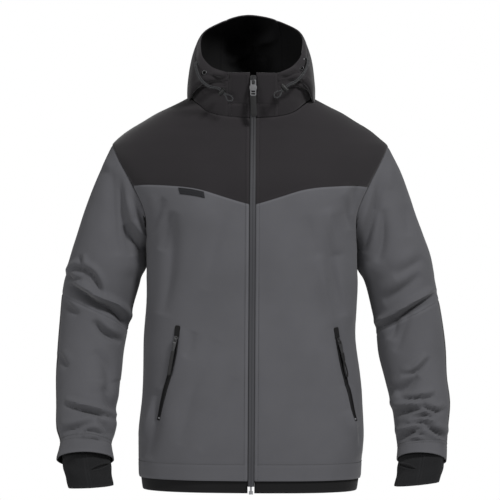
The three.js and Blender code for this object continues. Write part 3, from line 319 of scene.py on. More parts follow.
YOKE_SEAM = table(
    ["share", "height"],
    [[0, 537], [0.16, 551], [0.32, 564], [0.49, 570], [0.8, 573], [1, 571]],
)
NECKLINE = table(
    ["angle", "height"],
    [[0, 700], [14, 703], [24, 709], [41, 725], [60, 736], [79, 742], [90, 743], [135, 749], [180, 752]],
)
STAND_TOP = table(
    ["angle", "height"],
    [[0, 757], [14, 757], [45, 757], [70, 757], [90, 759], [135, 766], [180, 770]],
)
SLEEVE_COLUMNS = "down outX outH inX inH middle deep".split()
SLEEVES = {
    RIGHT: table(SLEEVE_COLUMNS, read_rows("""
        0 268 649 205 479 5 60
        36 295 590 210 474 5 60
        69 314 538 209 460 6 61
        105 330 490 208.5 438 7 62
        140 344 448 209 412 9 63
        173 354 410 214 386 11 62
        212 361 368 225 348 13 60
        257 365 325 234 308 11 58
        311 369 270 243 256 1 56
        366 370.5 215 248 205 -16 53
        421 368 160 254 153 -38 49
        467 366 115 256 110 -58 45
        493 358 88 262 87 -70 41
        522 364 58 256 59 -83 44
    """)),
    LEFT: table(SLEEVE_COLUMNS, read_rows("""
        0 258 649 201 479 5 60
        36 286 590 206 474 5 60
        69 305 538 206 460 6 61
        105 322 490 206 438 7 62
        140 338 448 208 412 9 63
        173 347 406 217 384 11 62
        212 356 360 227 345 13 60
        257 364 314 236 302 11 58
        311 369 265 242 255 2 56
        366 371 212 254 205 -12 52
        421 375 165 266 157 -29 48
        467 371 115 272 109 -45 45
        493 369 86 275 82 -54 42
        522 367 58 273 62 -64 44
    """)),
}

# %% [markdown]
# ## Creases
#
# Cloth creases where it has to turn or has more length than it needs: at the elbows, above the
# cuffs and under the arms. Simulation would give creases of its own, not the ones in the picture.
# So each crease is a line, drawn as seen from the front or the back. Along it the cloth
# sinks into a soft trough, and on its upper side it swells into a lip, as cloth does that has
# slumped down onto itself. The trough fades towards both ends of the line.

# %% List the creases
# Each has its side (1 in front, -1 behind), its depth before the gain below, its half width, its
# lip as a share of the depth, and x and height of points along it. A depth below nothing is a ridge.
BODY_CREASES = read_rows("""
    1 4 14 0 -150 520 -153 425 -168 330
    1 4 14 0 150 520 155 425 172 330
    1 4 12 0 -176 190 -182 125 -196 60
    1 -4 12 0 178 200 184 130 198 60
    1 2.6 9 0.5 -150 524 -160 490 -173 450
    1 2.2 8 0.5 -167 549 -176 520 -188 485
    1 1.6 10 0.4 -108 300 -115 272 -124 251
    1 1.8 13 0.3 -66 285 -86 240 -106 200 -133 89
    1 1.5 12 0.3 -30 215 -60 150 -96 80
    1 -2.2 8 0 -182 180 -194 140 -207 95
    1 1.3 14 0.3 -48 521 -67 461 -88 378
    1 2.6 9 0.5 196 575 192 552 190 520
    1 2.2 9 0.5 170 555 178 525 186 492
    1 -2.4 10 0 138 530 150 490 162 445
    1 -1.8 10 0 124 445 134 390 144 344 154 310
    1 -1.8 9 0 161 440 167 400 172 370 190 312
    1 1.2 13 0.3 102 516 112 478 124 436
    1 -2.4 8 0 174 152 184 128 194 104 205 66
    1 2.2 5 0.3 193 122 197 105 198 84
    -1 5 18 0.2 -150 470 -152 335 -170 200
    -1 5 18 0.2 150 470 152 335 170 200
    -1 3 14 0.4 -168 540 -120 500 -60 482 0 480
    -1 2.4 12 0.4 160 548 120 516 70 500
    -1 2.2 12 0.4 -150 330 -90 305 -20 300 60 306
    -1 2 11 0.4 140 296 80 276 10 270
    -1 1.8 15 0.2 -70 260 -92 170 -110 70
    -1 1.8 14 0.2 60 240 84 150 92 60
""")
ARM_CREASES = {
    RIGHT: read_rows("""
        1 8 6.5 0.7 -352 388 -322 370 -294 352 -268 341 -251 328 -236 303
        1 3 5 0.7 -358 404 -340 396 -318 392
        1 2.8 5 0.8 -352 400 -331 415 -305 408 -291 388 -284 358
        1 1.8 4 0.8 -326 440 -322 428 -318 420
        1 2.2 6 0.5 -356 352 -342 338 -326 327
        1 4 6.5 0.6 -300 318 -279 296 -264 286 -246 276
        1 2.2 6 0.4 -366 254 -356 240 -347 228
        1 2.6 10 0.4 -296 262 -272 230 -268 205 -272 180
        1 3 8 0.5 -274 195 -266 168 -252 143
        1 3.6 4.5 0.9 -352 162 -321 153 -290 145 -269 139 -252 130
        1 2.6 6 0.8 -353 110 -322 119 -292 128
        1 2.6 4 0.6 -322 108 -297 114 -270 103
        1 2 4 0.5 -328 99 -303 99 -266 95
        1 3.2 7 0.6 -284 138 -270 120 -262 102
        1 -2.2 10 0 -259 632 -266 618 -276 600
        1 3 12 0.3 -266 610 -264 546 -257 480 -252 440
        1 4.4 9 0.5 -250 596 -246 533 -236 480 -226 440
        1 4.2 8 0.6 -232 570 -218 536 -206 512 -196 500
        1 6 8 0.5 -236 500 -222 474 -206 448
        -1 6 8 0.6 -352 366 -320 352 -282 346 -240 330
        -1 4 7 0.6 -350 398 -318 392 -284 380 -246 352
        -1 3 7 0.6 -354 322 -322 312 -286 314
        -1 3.6 9 0.5 -250 590 -240 530 -224 470
        -1 3.4 6 0.7 -354 190 -320 178 -262 170
        -1 3 6 0.7 -350 148 -318 144 -280 152
        -1 2.6 5 0.6 -346 118 -310 112 -268 116
    """),
    LEFT: read_rows("""
        1 -2 14 0 256 644 258 606 256 568
        1 4.2 9 0.5 238 602 234 557 220 490 208 448
        1 3.4 9 0.4 247 530 245 478 236 430
        1 1.6 14 0.3 292 540 294 480
        1 3.4 10 0.5 318 410 300 392 281 377 248 356
        1 2.8 10 0.4 324 440 296 420 268 404
        1 5.4 5.5 0.8 356 374 320 354 295 339 269 322 232 302
        1 3.4 9 0.4 272 326 268 306 262 284
        1 2.4 9 0.3 300 336 284 300 270 262
        1 2.6 4.5 0.8 282 218 308 225 322 237 336 252
        1 4.4 8 0.5 312 218 294 200 274 182
        1 2.8 4.5 0.8 282 172 312 175 346 181
        1 -2.6 7 0 262 152 268 168 278 186
        1 4.6 6 0.8 272 147 296 153 322 156
        1 3 4.5 0.8 314 167 330 157 351 151 368 158
        1 3 4 0.8 296 137 323 144 344 139
        1 2.6 4 0.7 286 126 317 131 350 128
        1 4.6 5.5 0.7 274 100 298 111 320 124
        1 4 5.5 0.7 322 127 343 116 366 101
        1 -2.6 5 0 318 123 346 103 366 90
        1 1.8 3.5 0.7 304 106 314 109 326 108
        1 1.8 3.5 0.6 290 95 306 99 324 98
        -1 6 8 0.6 352 366 320 350 282 344 238 326
        -1 4 7 0.6 350 400 318 390 284 382 246 356
        -1 3 7 0.6 354 318 326 306 290 304
        -1 3.6 9 0.5 244 590 236 530 222 470
        -1 3.8 6 0.7 362 196 326 182 268 172
        -1 3.2 6 0.7 366 156 330 146 284 150
        -1 2.8 5 0.6 364 122 326 112 282 118
    """),
}
HOOD_CREASES = read_rows("""
    1 2.4 5 0.5 -49 762 -70 764 -92 758 -113 742
    1 2.4 5 0.5 56 764 76 768 92 764 108 746
    1 1.6 7 0.3 -62 748 -84 740 -104 728
    1 1.6 7 0.3 62 750 84 742 102 730
    1 2.0 4 0.6 -44 776 -60 772 -80 777
    1 1.8 4 0.6 -46 752 -64 749 -84 753 -96 762
    1 2.0 4 0.6 46 772 64 777 84 788
    1 1.8 4 0.6 46 750 66 753 88 764 100 776
    1 1.4 3.5 0.5 -44 738 -60 742 -72 740
    1 1.4 3.5 0.5 42 736 58 741 72 738
    -1 3.0 9 0.6 2 846 -16 862 -34 876
    -1 3.0 9 0.6 0 846 22 856 48 862
    -1 3.0 9 0.6 0 844 -22 832 -46 812
    -1 3.0 9 0.6 4 842 20 826 30 800
    -1 2.4 10 0.6 -4 842 -4 816 -14 786
""")
print(len(BODY_CREASES) + sum(len(v) for v in ARM_CREASES.values()) + len(HOOD_CREASES), "creases")

# %% Measure how far the creases move a point
CREASE_GAIN = {"body": 2.3, "arm": 2.7, "hood": 2.8}
LIP_AWAY = 1.9  # from the crease to its lip, in half widths
LIP_WIDTH = 1.3


def prepare(creases):
    """Each crease with its line drawn smoothly, its length along the way and its box."""
    made = []
    for facing, depth, width, lip, *points in creases:
        line = smooth_line([(x, 0, h) for x, h in zip(points[::2], points[1::2])], 6)[:, [0, 2]]
        made.append((facing, depth, width, lip, line, run_lengths(line)))
    return made

# %% Sink and swell the cloth
def crease_depth(at, out, creases, gain):
    """How far out along its normal each point of cloth moves. A crease is sharpest at its bottom."""
    moved = np.zeros(len(at))
    for facing, depth, width, lip, line, along in creases:
        shown = np.clip((0.35 - out[:, 1] * facing) / 0.7, 0, 1)
        reach = 4 * width
        low = line.min(0) - reach
        high = line.max(0) + reach
        flat = at[:, [0, 2]]
        near = np.flatnonzero((shown > 0) & (flat > low).all(1) & (flat < high).all(1))
        if not len(near):
            continue
        start = line[:-1]
        run = line[1:] - start
        gap = flat[near, None] - start
        t = np.clip((gap * run).sum(2) / (run**2).sum(1), 0, 1)
        off = gap - t[..., None] * run
        away = np.hypot(off[..., 0], off[..., 1])
        best = away.argmin(1)
        pick = np.arange(len(near))
        distance = away[pick, best]
        share = (along[best] + t[pick, best] * np.diff(along)[best]) / along[-1]
        upward = np.stack([-run[:, 1], run[:, 0]], 1) * np.where(run[:, 0] < 0, -1, 1)[:, None]
        side = np.sign((off[pick, best] * upward[best]).sum(1))
        fade = np.sin(math.pi * np.clip(share, 0, 1)) ** 0.6
        trough = -np.exp(-((distance / width) ** 1.5))
        swell = lip * np.exp(-(((side * distance - LIP_AWAY * width) / (LIP_WIDTH * width)) ** 2))
        moved[near] += gain * shown[near] ** 1.5 * fade * depth * (trough + swell)
    return moved


BODY_CREASES = prepare(BODY_CREASES)
ARM_CREASES = {side: prepare(rows) for side, rows in ARM_CREASES.items()}
HOOD_CREASES = prepare(HOOD_CREASES)
print("the longest crease on the body is", round(max(c[5][-1] for c in BODY_CREASES)), "mm")

# %% [markdown]
# ## Surfaces
#
# Each surface is a function of two numbers, such as an angle and a height. It returns places and
# the ways out of the cloth, for whole arrays at once, which is what makes fine cloth quick.
# Bonded cloth is never quite even, so a few slow waves of under a millimetre are added to it.

# %% A surface with creases
def normals_of(plain, a, b, steps, turn=1):
    """The ways out of a plain surface, from points a step away on each side."""
    across = plain(a + steps[0], b) - plain(a - steps[0], b)
    along = plain(a, b + steps[1]) - plain(a, b - steps[1])
    return unit(np.cross(across, along)) * turn


def grid(a, b):
    """Two values or arrays as arrays of one shape."""
    return np.broadcast_arrays(np.asarray(a, float), np.asarray(b, float))


def plain_body(angle, height):
    """The torso without creases, by degrees from the front's middle and height."""
    angle, height = grid(angle, height)
    side = np.sin(np.radians(angle))
    ahead = np.cos(np.radians(angle))
    power = 2 / BODY("square", height)
    depth = np.where(ahead > 0, BODY("front", height), BODY("back", height))
    x = BODY("sway", height) + BODY("half", height) * np.sign(side) * np.abs(side) ** power
    y = BODY("middle", height) - depth * np.sign(ahead) * np.abs(ahead) ** power
    return np.stack([x, y, height], -1)


def slow_waves(at):
    """Slow unevenness of the cloth, less than 0.8 mm."""
    x, y, h = np.moveaxis(at, -1, 0)
    return (
        0.30 * np.sin(x / 17.3 + h / 41.0 + 0.7)
        + 0.26 * np.sin(h / 26.1 - x / 63.0 + y / 30.0 + 2.1)
        + 0.20 * np.sin(x / 9.7 - h / 15.1 + y / 21.0)
    )


def creased(plain, steps, creases, gain, turn=1, quiet=None):
    """A surface with creases: returns places and ways out. quiet fades the creases."""

    def at(a, b):
        place = plain(a, b)
        out = normals_of(plain, a, b, steps, turn)
        shape = place.shape
        depth = crease_depth(place.reshape(-1, 3), out.reshape(-1, 3), creases, gain).reshape(shape[:-1])
        depth = depth + slow_waves(place)
        if quiet is not None:
            depth = depth * quiet(a, b, place)
        return place + out * depth[..., None], out

    return at

# %% The body, its edges and its armholes
BODY_STEPS = (0.6, 1.5)
SLEEVE_STEPS = (2, 2)
ARMHOLE_QUIET = 26  # creases fade out this near to an armhole


def edge_angle(offset, height):
    """The angle at which a front edge lies off from the zip's middle."""
    share = (offset - BODY("sway", height)) / BODY("half", height)
    return np.degrees(np.arcsin(np.sign(share) * np.abs(share) ** (BODY("square", height) / 2)))


def armhole(side, around):
    """The armhole on the body, by degrees round from the shoulder tip, front first."""
    around = np.asarray(around, float)
    middle = (SHOULDER_TIP_HEIGHT + UNDERARM_HEIGHT) / 2
    height = middle + (SHOULDER_TIP_HEIGHT - middle) * np.cos(np.radians(around))
    swing = np.sin(np.radians(around))
    bite = ARMHOLE_DEPTH * np.abs(swing) ** ARMHOLE_FULLNESS
    return side * (90 - np.sign(swing) * bite), height


def armhole_distance(place):
    """Roughly how far a place on the body is from the nearer armhole, in millimetres."""
    around = np.linspace(0, 360, 73)
    edge = np.concatenate([plain_body(*armhole(side, around)) for side in (LEFT, RIGHT)])
    flat = place.reshape(-1, 3)
    nearest = np.full(len(flat), np.inf)
    for point in edge:
        nearest = np.minimum(nearest, np.linalg.norm(flat - point, axis=1))
    return nearest.reshape(place.shape[:-1])


def ramp(value, low, high):
    """Rises smoothly from 0 at low to 1 at high."""
    t = np.clip((value - low) / (high - low), 0, 1)
    return t * t * (3 - 2 * t)


body = creased(
    plain_body,
    BODY_STEPS,
    BODY_CREASES,
    CREASE_GAIN["body"],
    quiet=lambda a, b, place: ramp(armhole_distance(place), 0, ARMHOLE_QUIET),
)

# %% The sleeves
SQUEEZE = 8.6  # how far the sleeve leans on the body's side just below the armhole
SQUEEZE_HEIGHTS = (396, 424)  # it leans fully above the second
SLOPE_STEP = 8


def plain_sleeve(side):
    """A sleeve without creases, by degrees round from the outside, front first, and distance down."""
    read = SLEEVES[side]

    def tube_at(around, down):
        outer = np.stack([side * read("outX", down), read("middle", down), read("outH", down)], -1)
        inner = np.stack([side * read("inX", down), read("middle", down), read("inH", down)], -1)
        across = (outer - inner) / 2
        above = down - SLOPE_STEP
        below = down + SLOPE_STEP
        rise = read("outH", above) + read("inH", above) - read("outH", below) - read("inH", below)
        forward = np.arctan2(2 * (read("middle", above) - read("middle", below)), np.maximum(rise, 1))
        upward = unit(np.stack([-across[..., 2] * side, across[..., 2] * 0, across[..., 0] * side], -1))
        ahead = upward * np.sin(forward)[..., None]
        ahead = ahead + np.stack([forward * 0, -np.cos(forward), forward * 0], -1)
        turn = np.radians(around)[..., None]
        deep = read("deep", down)[..., None]
        return (outer + inner) / 2 + across * np.cos(turn) + ahead * deep * np.sin(turn)

    def at(around, down):
        around, down = grid(around, down)
        fade = np.clip(1 - down / ARMHOLE_BLEND, 0, 1) ** 2
        start = plain_body(*armhole(side, around)) - tube_at(around, down * 0)
        place = tube_at(around, down) + start * fade[..., None]
        inside = ramp(-np.cos(np.radians(around)), 0.1, 0.85)
        level = ramp(place[..., 2], *SQUEEZE_HEIGHTS) * ramp(down, 2, 14)
        place[..., 0] -= side * SQUEEZE * inside * level
        return place

    return at


SLEEVE = {side: plain_sleeve(side) for side in (LEFT, RIGHT)}
sleeves = {
    side: creased(
        SLEEVE[side],
        SLEEVE_STEPS,
        ARM_CREASES[side],
        CREASE_GAIN["arm"],
        turn=side,
        quiet=lambda a, b, place: ramp(b + 0 * a, 0, ARMHOLE_QUIET),
    )
    for side in (LEFT, RIGHT)
}

# %% [markdown]
# ## The collar and the hood
#
# The collar goes on up from the neckline, out in front and behind and slightly in at the sides. The
# hood is a fan of curves round the neck: a table gives three points of each curve above the collar.
# It could be a cut ball, but a real hood is neither round nor even, and a table can follow what the
# picture shows.

# %% The collar
COLLAR_LEAN = {"front": 0.25, "back": 0.12, "side": -0.06}


def turned_from(angle):
    """Degrees from the front's middle, the same on both sides."""
    return np.abs((np.asarray(angle, float) + 540) % 360 - 180)


def neck_height(angle):
    return NECKLINE("height", turned_from(angle))


def stand_height(angle):
    return STAND_TOP("height", turned_from(angle))


def plain_collar(angle, height):
    """The collar without creases, by degrees from the front's middle and height."""
    angle, height = grid(angle, height)
    at = plain_body(angle, neck_height(angle))
    up = height - neck_height(angle)
    ahead = np.cos(np.radians(angle))
    at[..., 0] += COLLAR_LEAN["side"] * np.sin(np.radians(angle)) * up
    at[..., 1] -= np.where(ahead > 0, COLLAR_LEAN["front"], COLLAR_LEAN["back"]) * ahead * up
    at[..., 2] = height
    return at


collar = creased(plain_collar, BODY_STEPS, HOOD_CREASES, CREASE_GAIN["hood"], quiet=lambda a, b, place: 0.8)


def seam_angle(side):
    """Where the chin guard ends and the hood starts, in degrees from the front's middle."""
    return float(side * edge_angle(side * CHIN_WIDTH, NECKLINE("height", 14)))

# %% The hood
HOOD_SWAY = -3.6
HOOD_DROOP = 9  # how far the hood's lobes rest down on the shoulders
LOBE_AT = (115.5, 744)  # their distance from the middle, and height
LOBE_SIZE = 10


def front_seam_row(angle):
    """The hood's curve where it is sewn to the collar."""
    row = [angle]
    for t in (1 / 3, 2 / 3, 1):
        x, y, h = plain_collar(angle, mix(stand_height(angle), COLLAR_TOP, t))
        row += [x - HOOD_SWAY, y, h]
    return row


HOOD_ROWS = [
    [42, 104, -70, 750, 99, -82, 777, 76, -76, 796],
    [80, 125, -16, 695, 122, -51, 802, 95, -53, 825],
    [130, 119, 84, 737, 105, 54, 851, 86, -8, 870],
    [180, 0, 150, 762, 0, 114, 905, 0, 24, 901],
]
FAR_ROWS = [
    [360 - angle] + [v if i % 3 else -v for i, v in enumerate(rest)]
    for angle, *rest in HOOD_ROWS[-2::-1]
]
HOOD = table(
    ["angle", "x1", "y1", "h1", "x2", "y2", "h2", "x3", "y3", "h3"],
    [front_seam_row(seam_angle(LEFT))] + HOOD_ROWS + FAR_ROWS + [front_seam_row(360 - seam_angle(RIGHT))],
)


def plain_hood(angle, up):
    """The hood by degrees round the neck and share of the way from the stand to the rim."""
    angle, up = grid(angle, up)
    t = np.clip(up, 0, 1)[..., None]
    points = [plain_collar(angle, stand_height(angle))]
    for n in "123":
        x, y, h = [HOOD(axis + n, angle) for axis in "xyh"]
        points.append(np.stack([x + HOOD_SWAY, y, h], -1))
    return (
        points[0] * (1 - t) ** 3
        + 3 * points[1] * t * (1 - t) ** 2
        + 3 * points[2] * t**2 * (1 - t)
        + points[3] * t**3
    )


def hood(angle, up):
    """The hood's places and ways out, with creases that die out at its front seams."""
    place = plain_hood(angle, up)
    out = normals_of(plain_hood, angle, np.clip(up, 0.03, 0.97), (1, 0.02))
    flat = crease_depth(place.reshape(-1, 3), out.reshape(-1, 3), HOOD_CREASES, CREASE_GAIN["hood"])
    flat = flat.reshape(place.shape[:-1])
    from_seam = np.minimum(angle - seam_angle(LEFT), 360 - seam_angle(RIGHT) - angle)
    depth = (flat + slow_waves(place) * 1.4) * ramp(from_seam, 0, 8) * ramp(up, 0, 0.12)
    place = place + out * depth[..., None]
    away = (np.abs(place[..., 0]) - LOBE_AT[0]) / LOBE_SIZE
    above = (place[..., 2] - LOBE_AT[1]) / LOBE_SIZE
    place[..., 2] -= HOOD_DROOP * np.exp(-(away**2) - above**2) * (place[..., 1] < 30)
    return place, out


print("front seams of the hood at", round(seam_angle(LEFT), 2), round(seam_angle(RIGHT), 2), "degrees")

# %% [markdown]
# ## Finishes for cloth
#
# Softshell looks matt and slightly ribbed. Up close its face is a tight weave of fine yarn with a
# faint rib across it, and its colour wavers a little. A picture of cloth could be wrapped round the
# panels. Nodes are used instead: sine waves along each panel's own map make yarn and rib, noise
# makes the wavering, and a number stored at each point paints a highlight beside each seam.

# %% Node helpers
def add_node(tree, kind, **settings):
    """A node with its settings. The entry inputs gives values or links for its sockets."""
    made = tree.nodes.new(kind)
    inputs = settings.pop("inputs", {})
    for key, value in settings.items():
        setattr(made, key, value)
    for key, value in inputs.items():
        if isinstance(value, bpy.types.NodeSocket):
            tree.links.new(value, made.inputs[key])
        else:
            made.inputs[key].default_value = value
    return made


def grey_tone(value, tint=(1, 1, 1)):
    return (value * tint[0], value * tint[1], value * tint[2], 1)


def new_finish(name, roughness, specular=0.35, sheen=0.0, metal=0.0):
    """A material with only its shader, and that shader and its tree."""
    material = bpy.data.materials.new(name)
    material.use_nodes = True
    tree = material.node_tree
    tree.nodes.clear()
    shader = add_node(tree, "ShaderNodeBsdfPrincipled")
    shader.inputs["Roughness"].default_value = roughness
    shader.inputs["Specular IOR Level"].default_value = specular
    shader.inputs["Sheen Weight"].default_value = sheen
    shader.inputs["Sheen Roughness"].default_value = 0.5
    shader.inputs["Metallic"].default_value = metal
    add_node(tree, "ShaderNodeOutputMaterial", inputs={"Surface": shader.outputs[0]})
    return material, tree, shader


def even_finish(name, colour, roughness, specular=0.35):
    """A material of one plain colour."""
    material, _, shader = new_finish(name, roughness, specular=specular)
    shader.inputs["Base Color"].default_value = (*colour, 1)
    return material


def maths(tree, operation, *values):
    """One step of arithmetic on numbers or sockets."""
    return add_node(tree, "ShaderNodeMath", operation=operation, inputs=dict(enumerate(values))).outputs[0]


def waves(tree, value, pitch):
    """A sine of a length in metres, with the given pitch in metres."""
    return maths(tree, "SINE", maths(tree, "MULTIPLY", value, 2 * math.pi / pitch))


def combined(tree, a, b, share_a, share_b):
    return maths(tree, "MULTIPLY_ADD", b, share_b, maths(tree, "MULTIPLY", a, share_a))


def cloth_ways(tree):
    """The lengths across and up that a piece's own map holds, in metres."""
    stored = add_node(tree, "ShaderNodeUVMap", uv_map="cloth").outputs[0]
    return add_node(tree, "ShaderNodeSeparateXYZ", inputs={0: stored}).outputs


def speckle(tree, scale, detail):
    """Noise that stays where it is on the piece."""
    place = add_node(tree, "ShaderNodeTexCoord").outputs["Object"]
    noise = add_node(tree, "ShaderNodeTexNoise", inputs={"Vector": place, "Scale": scale, "Detail": detail})
    return noise.outputs[0]


def two_tones(tree, value, tones, tint=(1, 1, 1), ends=(0, 1)):
    """A ramp from the first tone to the second, between the two ends."""
    ramp_node = add_node(tree, "ShaderNodeValToRGB", inputs={0: value})
    for element, end in zip(ramp_node.color_ramp.elements, ends):
        element.position = end
    for element, tone in zip(ramp_node.color_ramp.elements, tones):
        element.color = grey_tone(tone, tint)
    return ramp_node.outputs[0]


def bumped(tree, shader, height, depth, strength):
    """Lets a pattern stand up by a depth in millimetres."""
    sizes = {"Height": height, "Distance": depth * MM, "Strength": strength}
    bump = add_node(tree, "ShaderNodeBump", inputs=sizes)
    tree.links.new(bump.outputs[0], shader.inputs["Normal"])

# %% Finishes for the cloths
SOFTSHELL = (0.9, 1.3, 0.10)  # pitches of yarn and rib, and their depth, in millimetres
GREY_TINT = (0.98, 0.98, 1.07)
SEAM_HIGHLIGHT_TONE = 1.9  # how much paler the painted highlight beside a seam can be


def cloth_finish(name, tone, tint, weave, sheen, waver=0.06, seam_highlight=0.25, roughness=0.8):
    """Woven cloth: weave gives the pitches of yarn and rib and the depth of both."""
    yarn, rib, relief = weave
    material, tree, shader = new_finish(name, roughness, specular=0.15, sheen=sheen)
    across, up = cloth_ways(tree)[:2]
    woven = combined(tree, waves(tree, across, yarn * MM), waves(tree, up, rib * MM), 0.45, 0.55)
    height = combined(tree, woven, speckle(tree, 900, 2), 0.5, 0.7)
    tones = tone * (1 - waver), tone * (1 + waver)
    plain = two_tones(tree, speckle(tree, 11, 3), tones, tint, (0.3, 0.7))
    # The stored number edge paints a highlight on the rolled cloth beside each seam.
    edge = add_node(tree, "ShaderNodeAttribute", attribute_name="edge").outputs["Fac"]
    lighter = add_node(tree, "ShaderNodeMix", data_type="RGBA")
    tree.links.new(maths(tree, "MULTIPLY", edge, seam_highlight), lighter.inputs[0])
    tree.links.new(plain, lighter.inputs[6])
    lighter.inputs[7].default_value = grey_tone(tone * SEAM_HIGHLIGHT_TONE, tint)
    tree.links.new(lighter.outputs[2], shader.inputs["Base Color"])
    bumped(tree, shader, height, relief, 0.6)
    return material


GREY = cloth_finish("softshell_grey_face", 0.084, GREY_TINT, SOFTSHELL, 0.10, seam_highlight=0.15)
# The sleeves get a darker copy of the grey face, with a fainter seam highlight: painted shade, where the
# sleeves turn away from the light.
SHADED_SLEEVE_GREY = cloth_finish("softshell_grey_sleeve", 0.077, GREY_TINT, SOFTSHELL, 0.12, seam_highlight=0.08)
CHARCOAL = cloth_finish("softshell_charcoal_face", 0.0124, (1.09, 0.95, 1.08), SOFTSHELL, 0.20)
FLEECE = cloth_finish("black_fleece", 0.0085, (1, 1, 1.05), (1.7, 2.1, 0.35), 0.0, 0.2, 0.0, 0.95)
KNIT = cloth_finish("cuff_knit", 0.0105, (0.98, 1, 1.08), (1.5, 1.1, 0.25), 0.08, 0.08, 0.3, 0.9)
ELASTIC = cloth_finish("hem_elastic", 0.0075, (1, 0.98, 1.05), (1.2, 1.9, 0.25), 0.06, 0.08, 0.3, 0.85)
print("cloth finishes", [m.name for m in (GREY, SHADED_SLEEVE_GREY, CHARCOAL, FLEECE, KNIT, ELASTIC)])

# %% [markdown]
# ## A panel of cloth
#
# A maker cuts a flat panel and sews it along its edges. Here a panel is a net of points on one of
# the surfaces, with an inner net behind it, so it has a real thickness. Subdividing a coarse mesh
# would also work, but the seams would drift apart. With a net, both panels at a seam run along the
# same line. There each one turns in by about a millimetre, which is what makes a seam show.

# %% Measure and join the points of a panel
SEAM_REACH = 2.3  # how far from a seam the cloth starts to turn in
FULL_SEAM = 0.5  # a seam that turns in by more than this puckers
PUCKER = {"depth": 0.10, "pitch": 2.7, "reach": 7}
SEAM_HIGHLIGHT_LINE = {"away": 2.6, "width": 1.6}  # the painted highlight: a paler line beside a seam
panels = {}


def spread(count, fine=0.006, ends=(True, True)):
    """Shares from 0 to 1, evenly spaced, with a few closer ones at ends that are seams."""
    shares = list(np.linspace(0, 1, count + 1))
    steps = [0.16 * fine, 0.42 * fine, 0.85 * fine]
    if ends[0]:
        shares += steps
    if ends[1]:
        shares += [1 - s for s in steps]
    return np.array(sorted(s for s in set(round(v, 6) for v in shares)))


def edge_distances(place):
    """How far each point of a net is from the net's four edges, along the net."""
    across = np.linalg.norm(np.diff(place, axis=1), axis=2)
    along = np.linalg.norm(np.diff(place, axis=0), axis=2)
    from_left = np.concatenate([np.zeros((place.shape[0], 1)), np.cumsum(across, 1)], 1)
    from_bottom = np.concatenate([np.zeros((1, place.shape[1])), np.cumsum(along, 0)], 0)
    return {
        "left": from_left,
        "right": from_left[:, -1:] - from_left,
        "bottom": from_bottom,
        "top": from_bottom[-1:] - from_bottom,
    }


def net_normals(place, closed):
    """The ways out of a net of points, from its own neighbours."""
    if closed:
        wide = np.concatenate([place[:, -2:-1], place, place[:, 1:2]], 1)
        across = (wide[:, 2:] - wide[:, :-2]) / 2
    else:
        across = np.gradient(place, axis=1)
    return unit(np.cross(across, np.gradient(place, axis=0)))


def net_area(place):
    """The area of a net of points, in square millimetres."""
    low, high = place[:-1], place[1:]
    first = np.cross(high[:, :-1] - low[:, :-1], low[:, 1:] - low[:, :-1])
    second = np.cross(high[:, :-1] - high[:, 1:], low[:, 1:] - high[:, 1:])
    return float((np.linalg.norm(first, axis=2) + np.linalg.norm(second, axis=2)).sum() / 2)


def seam_shape(reach, turn_in):
    """How far each point sinks at the seams, and how strong the painted highlight beside them is."""
    drop = np.zeros(reach["left"].shape)
    painted_seam_highlight = np.zeros(reach["left"].shape)
    for which, amount in turn_in.items():
        away = reach[which]
        drop += amount * np.exp(-((away / SEAM_REACH) ** 2))
        pucker = np.sin(reach["left" if which in ("top", "bottom") else "bottom"] / PUCKER["pitch"])
        drop += PUCKER["depth"] * pucker * np.exp(-away / PUCKER["reach"]) * (amount > FULL_SEAM)
        painted_seam_highlight = np.maximum(painted_seam_highlight, np.exp(-(((away - SEAM_HIGHLIGHT_LINE["away"]) / SEAM_HIGHLIGHT_LINE["width"]) ** 2)))
    return drop, painted_seam_highlight


def shell_faces(rows, columns, closed):
    """Faces of the outer net, of the inner net behind it and of the rims that join them."""
    count = rows * columns
    index = np.arange(count).reshape(rows, columns)
    following = np.roll(index, -1, 1)[:, : columns if closed else columns - 1]
    index = index[:, : following.shape[1]]
    low, low_next, high, high_next = index[:-1], following[:-1], index[1:], following[1:]
    outer = np.stack([low, low_next, high_next, high], -1).reshape(-1, 4)
    rims = [np.stack([index[0], index[0] + count, following[0] + count, following[0]], -1)]
    rims.append(np.stack([index[-1], following[-1], following[-1] + count, index[-1] + count], -1))
    if not closed:
        first = np.arange(rows) * columns
        last = first + columns - 1
        rims.append(np.stack([first[:-1], first[1:], first[1:] + count, first[:-1] + count], -1))
        rims.append(np.stack([last[:-1], last[:-1] + count, last[1:] + count, last[1:]], -1))
    return outer, outer[:, ::-1] + count, np.concatenate(rims)

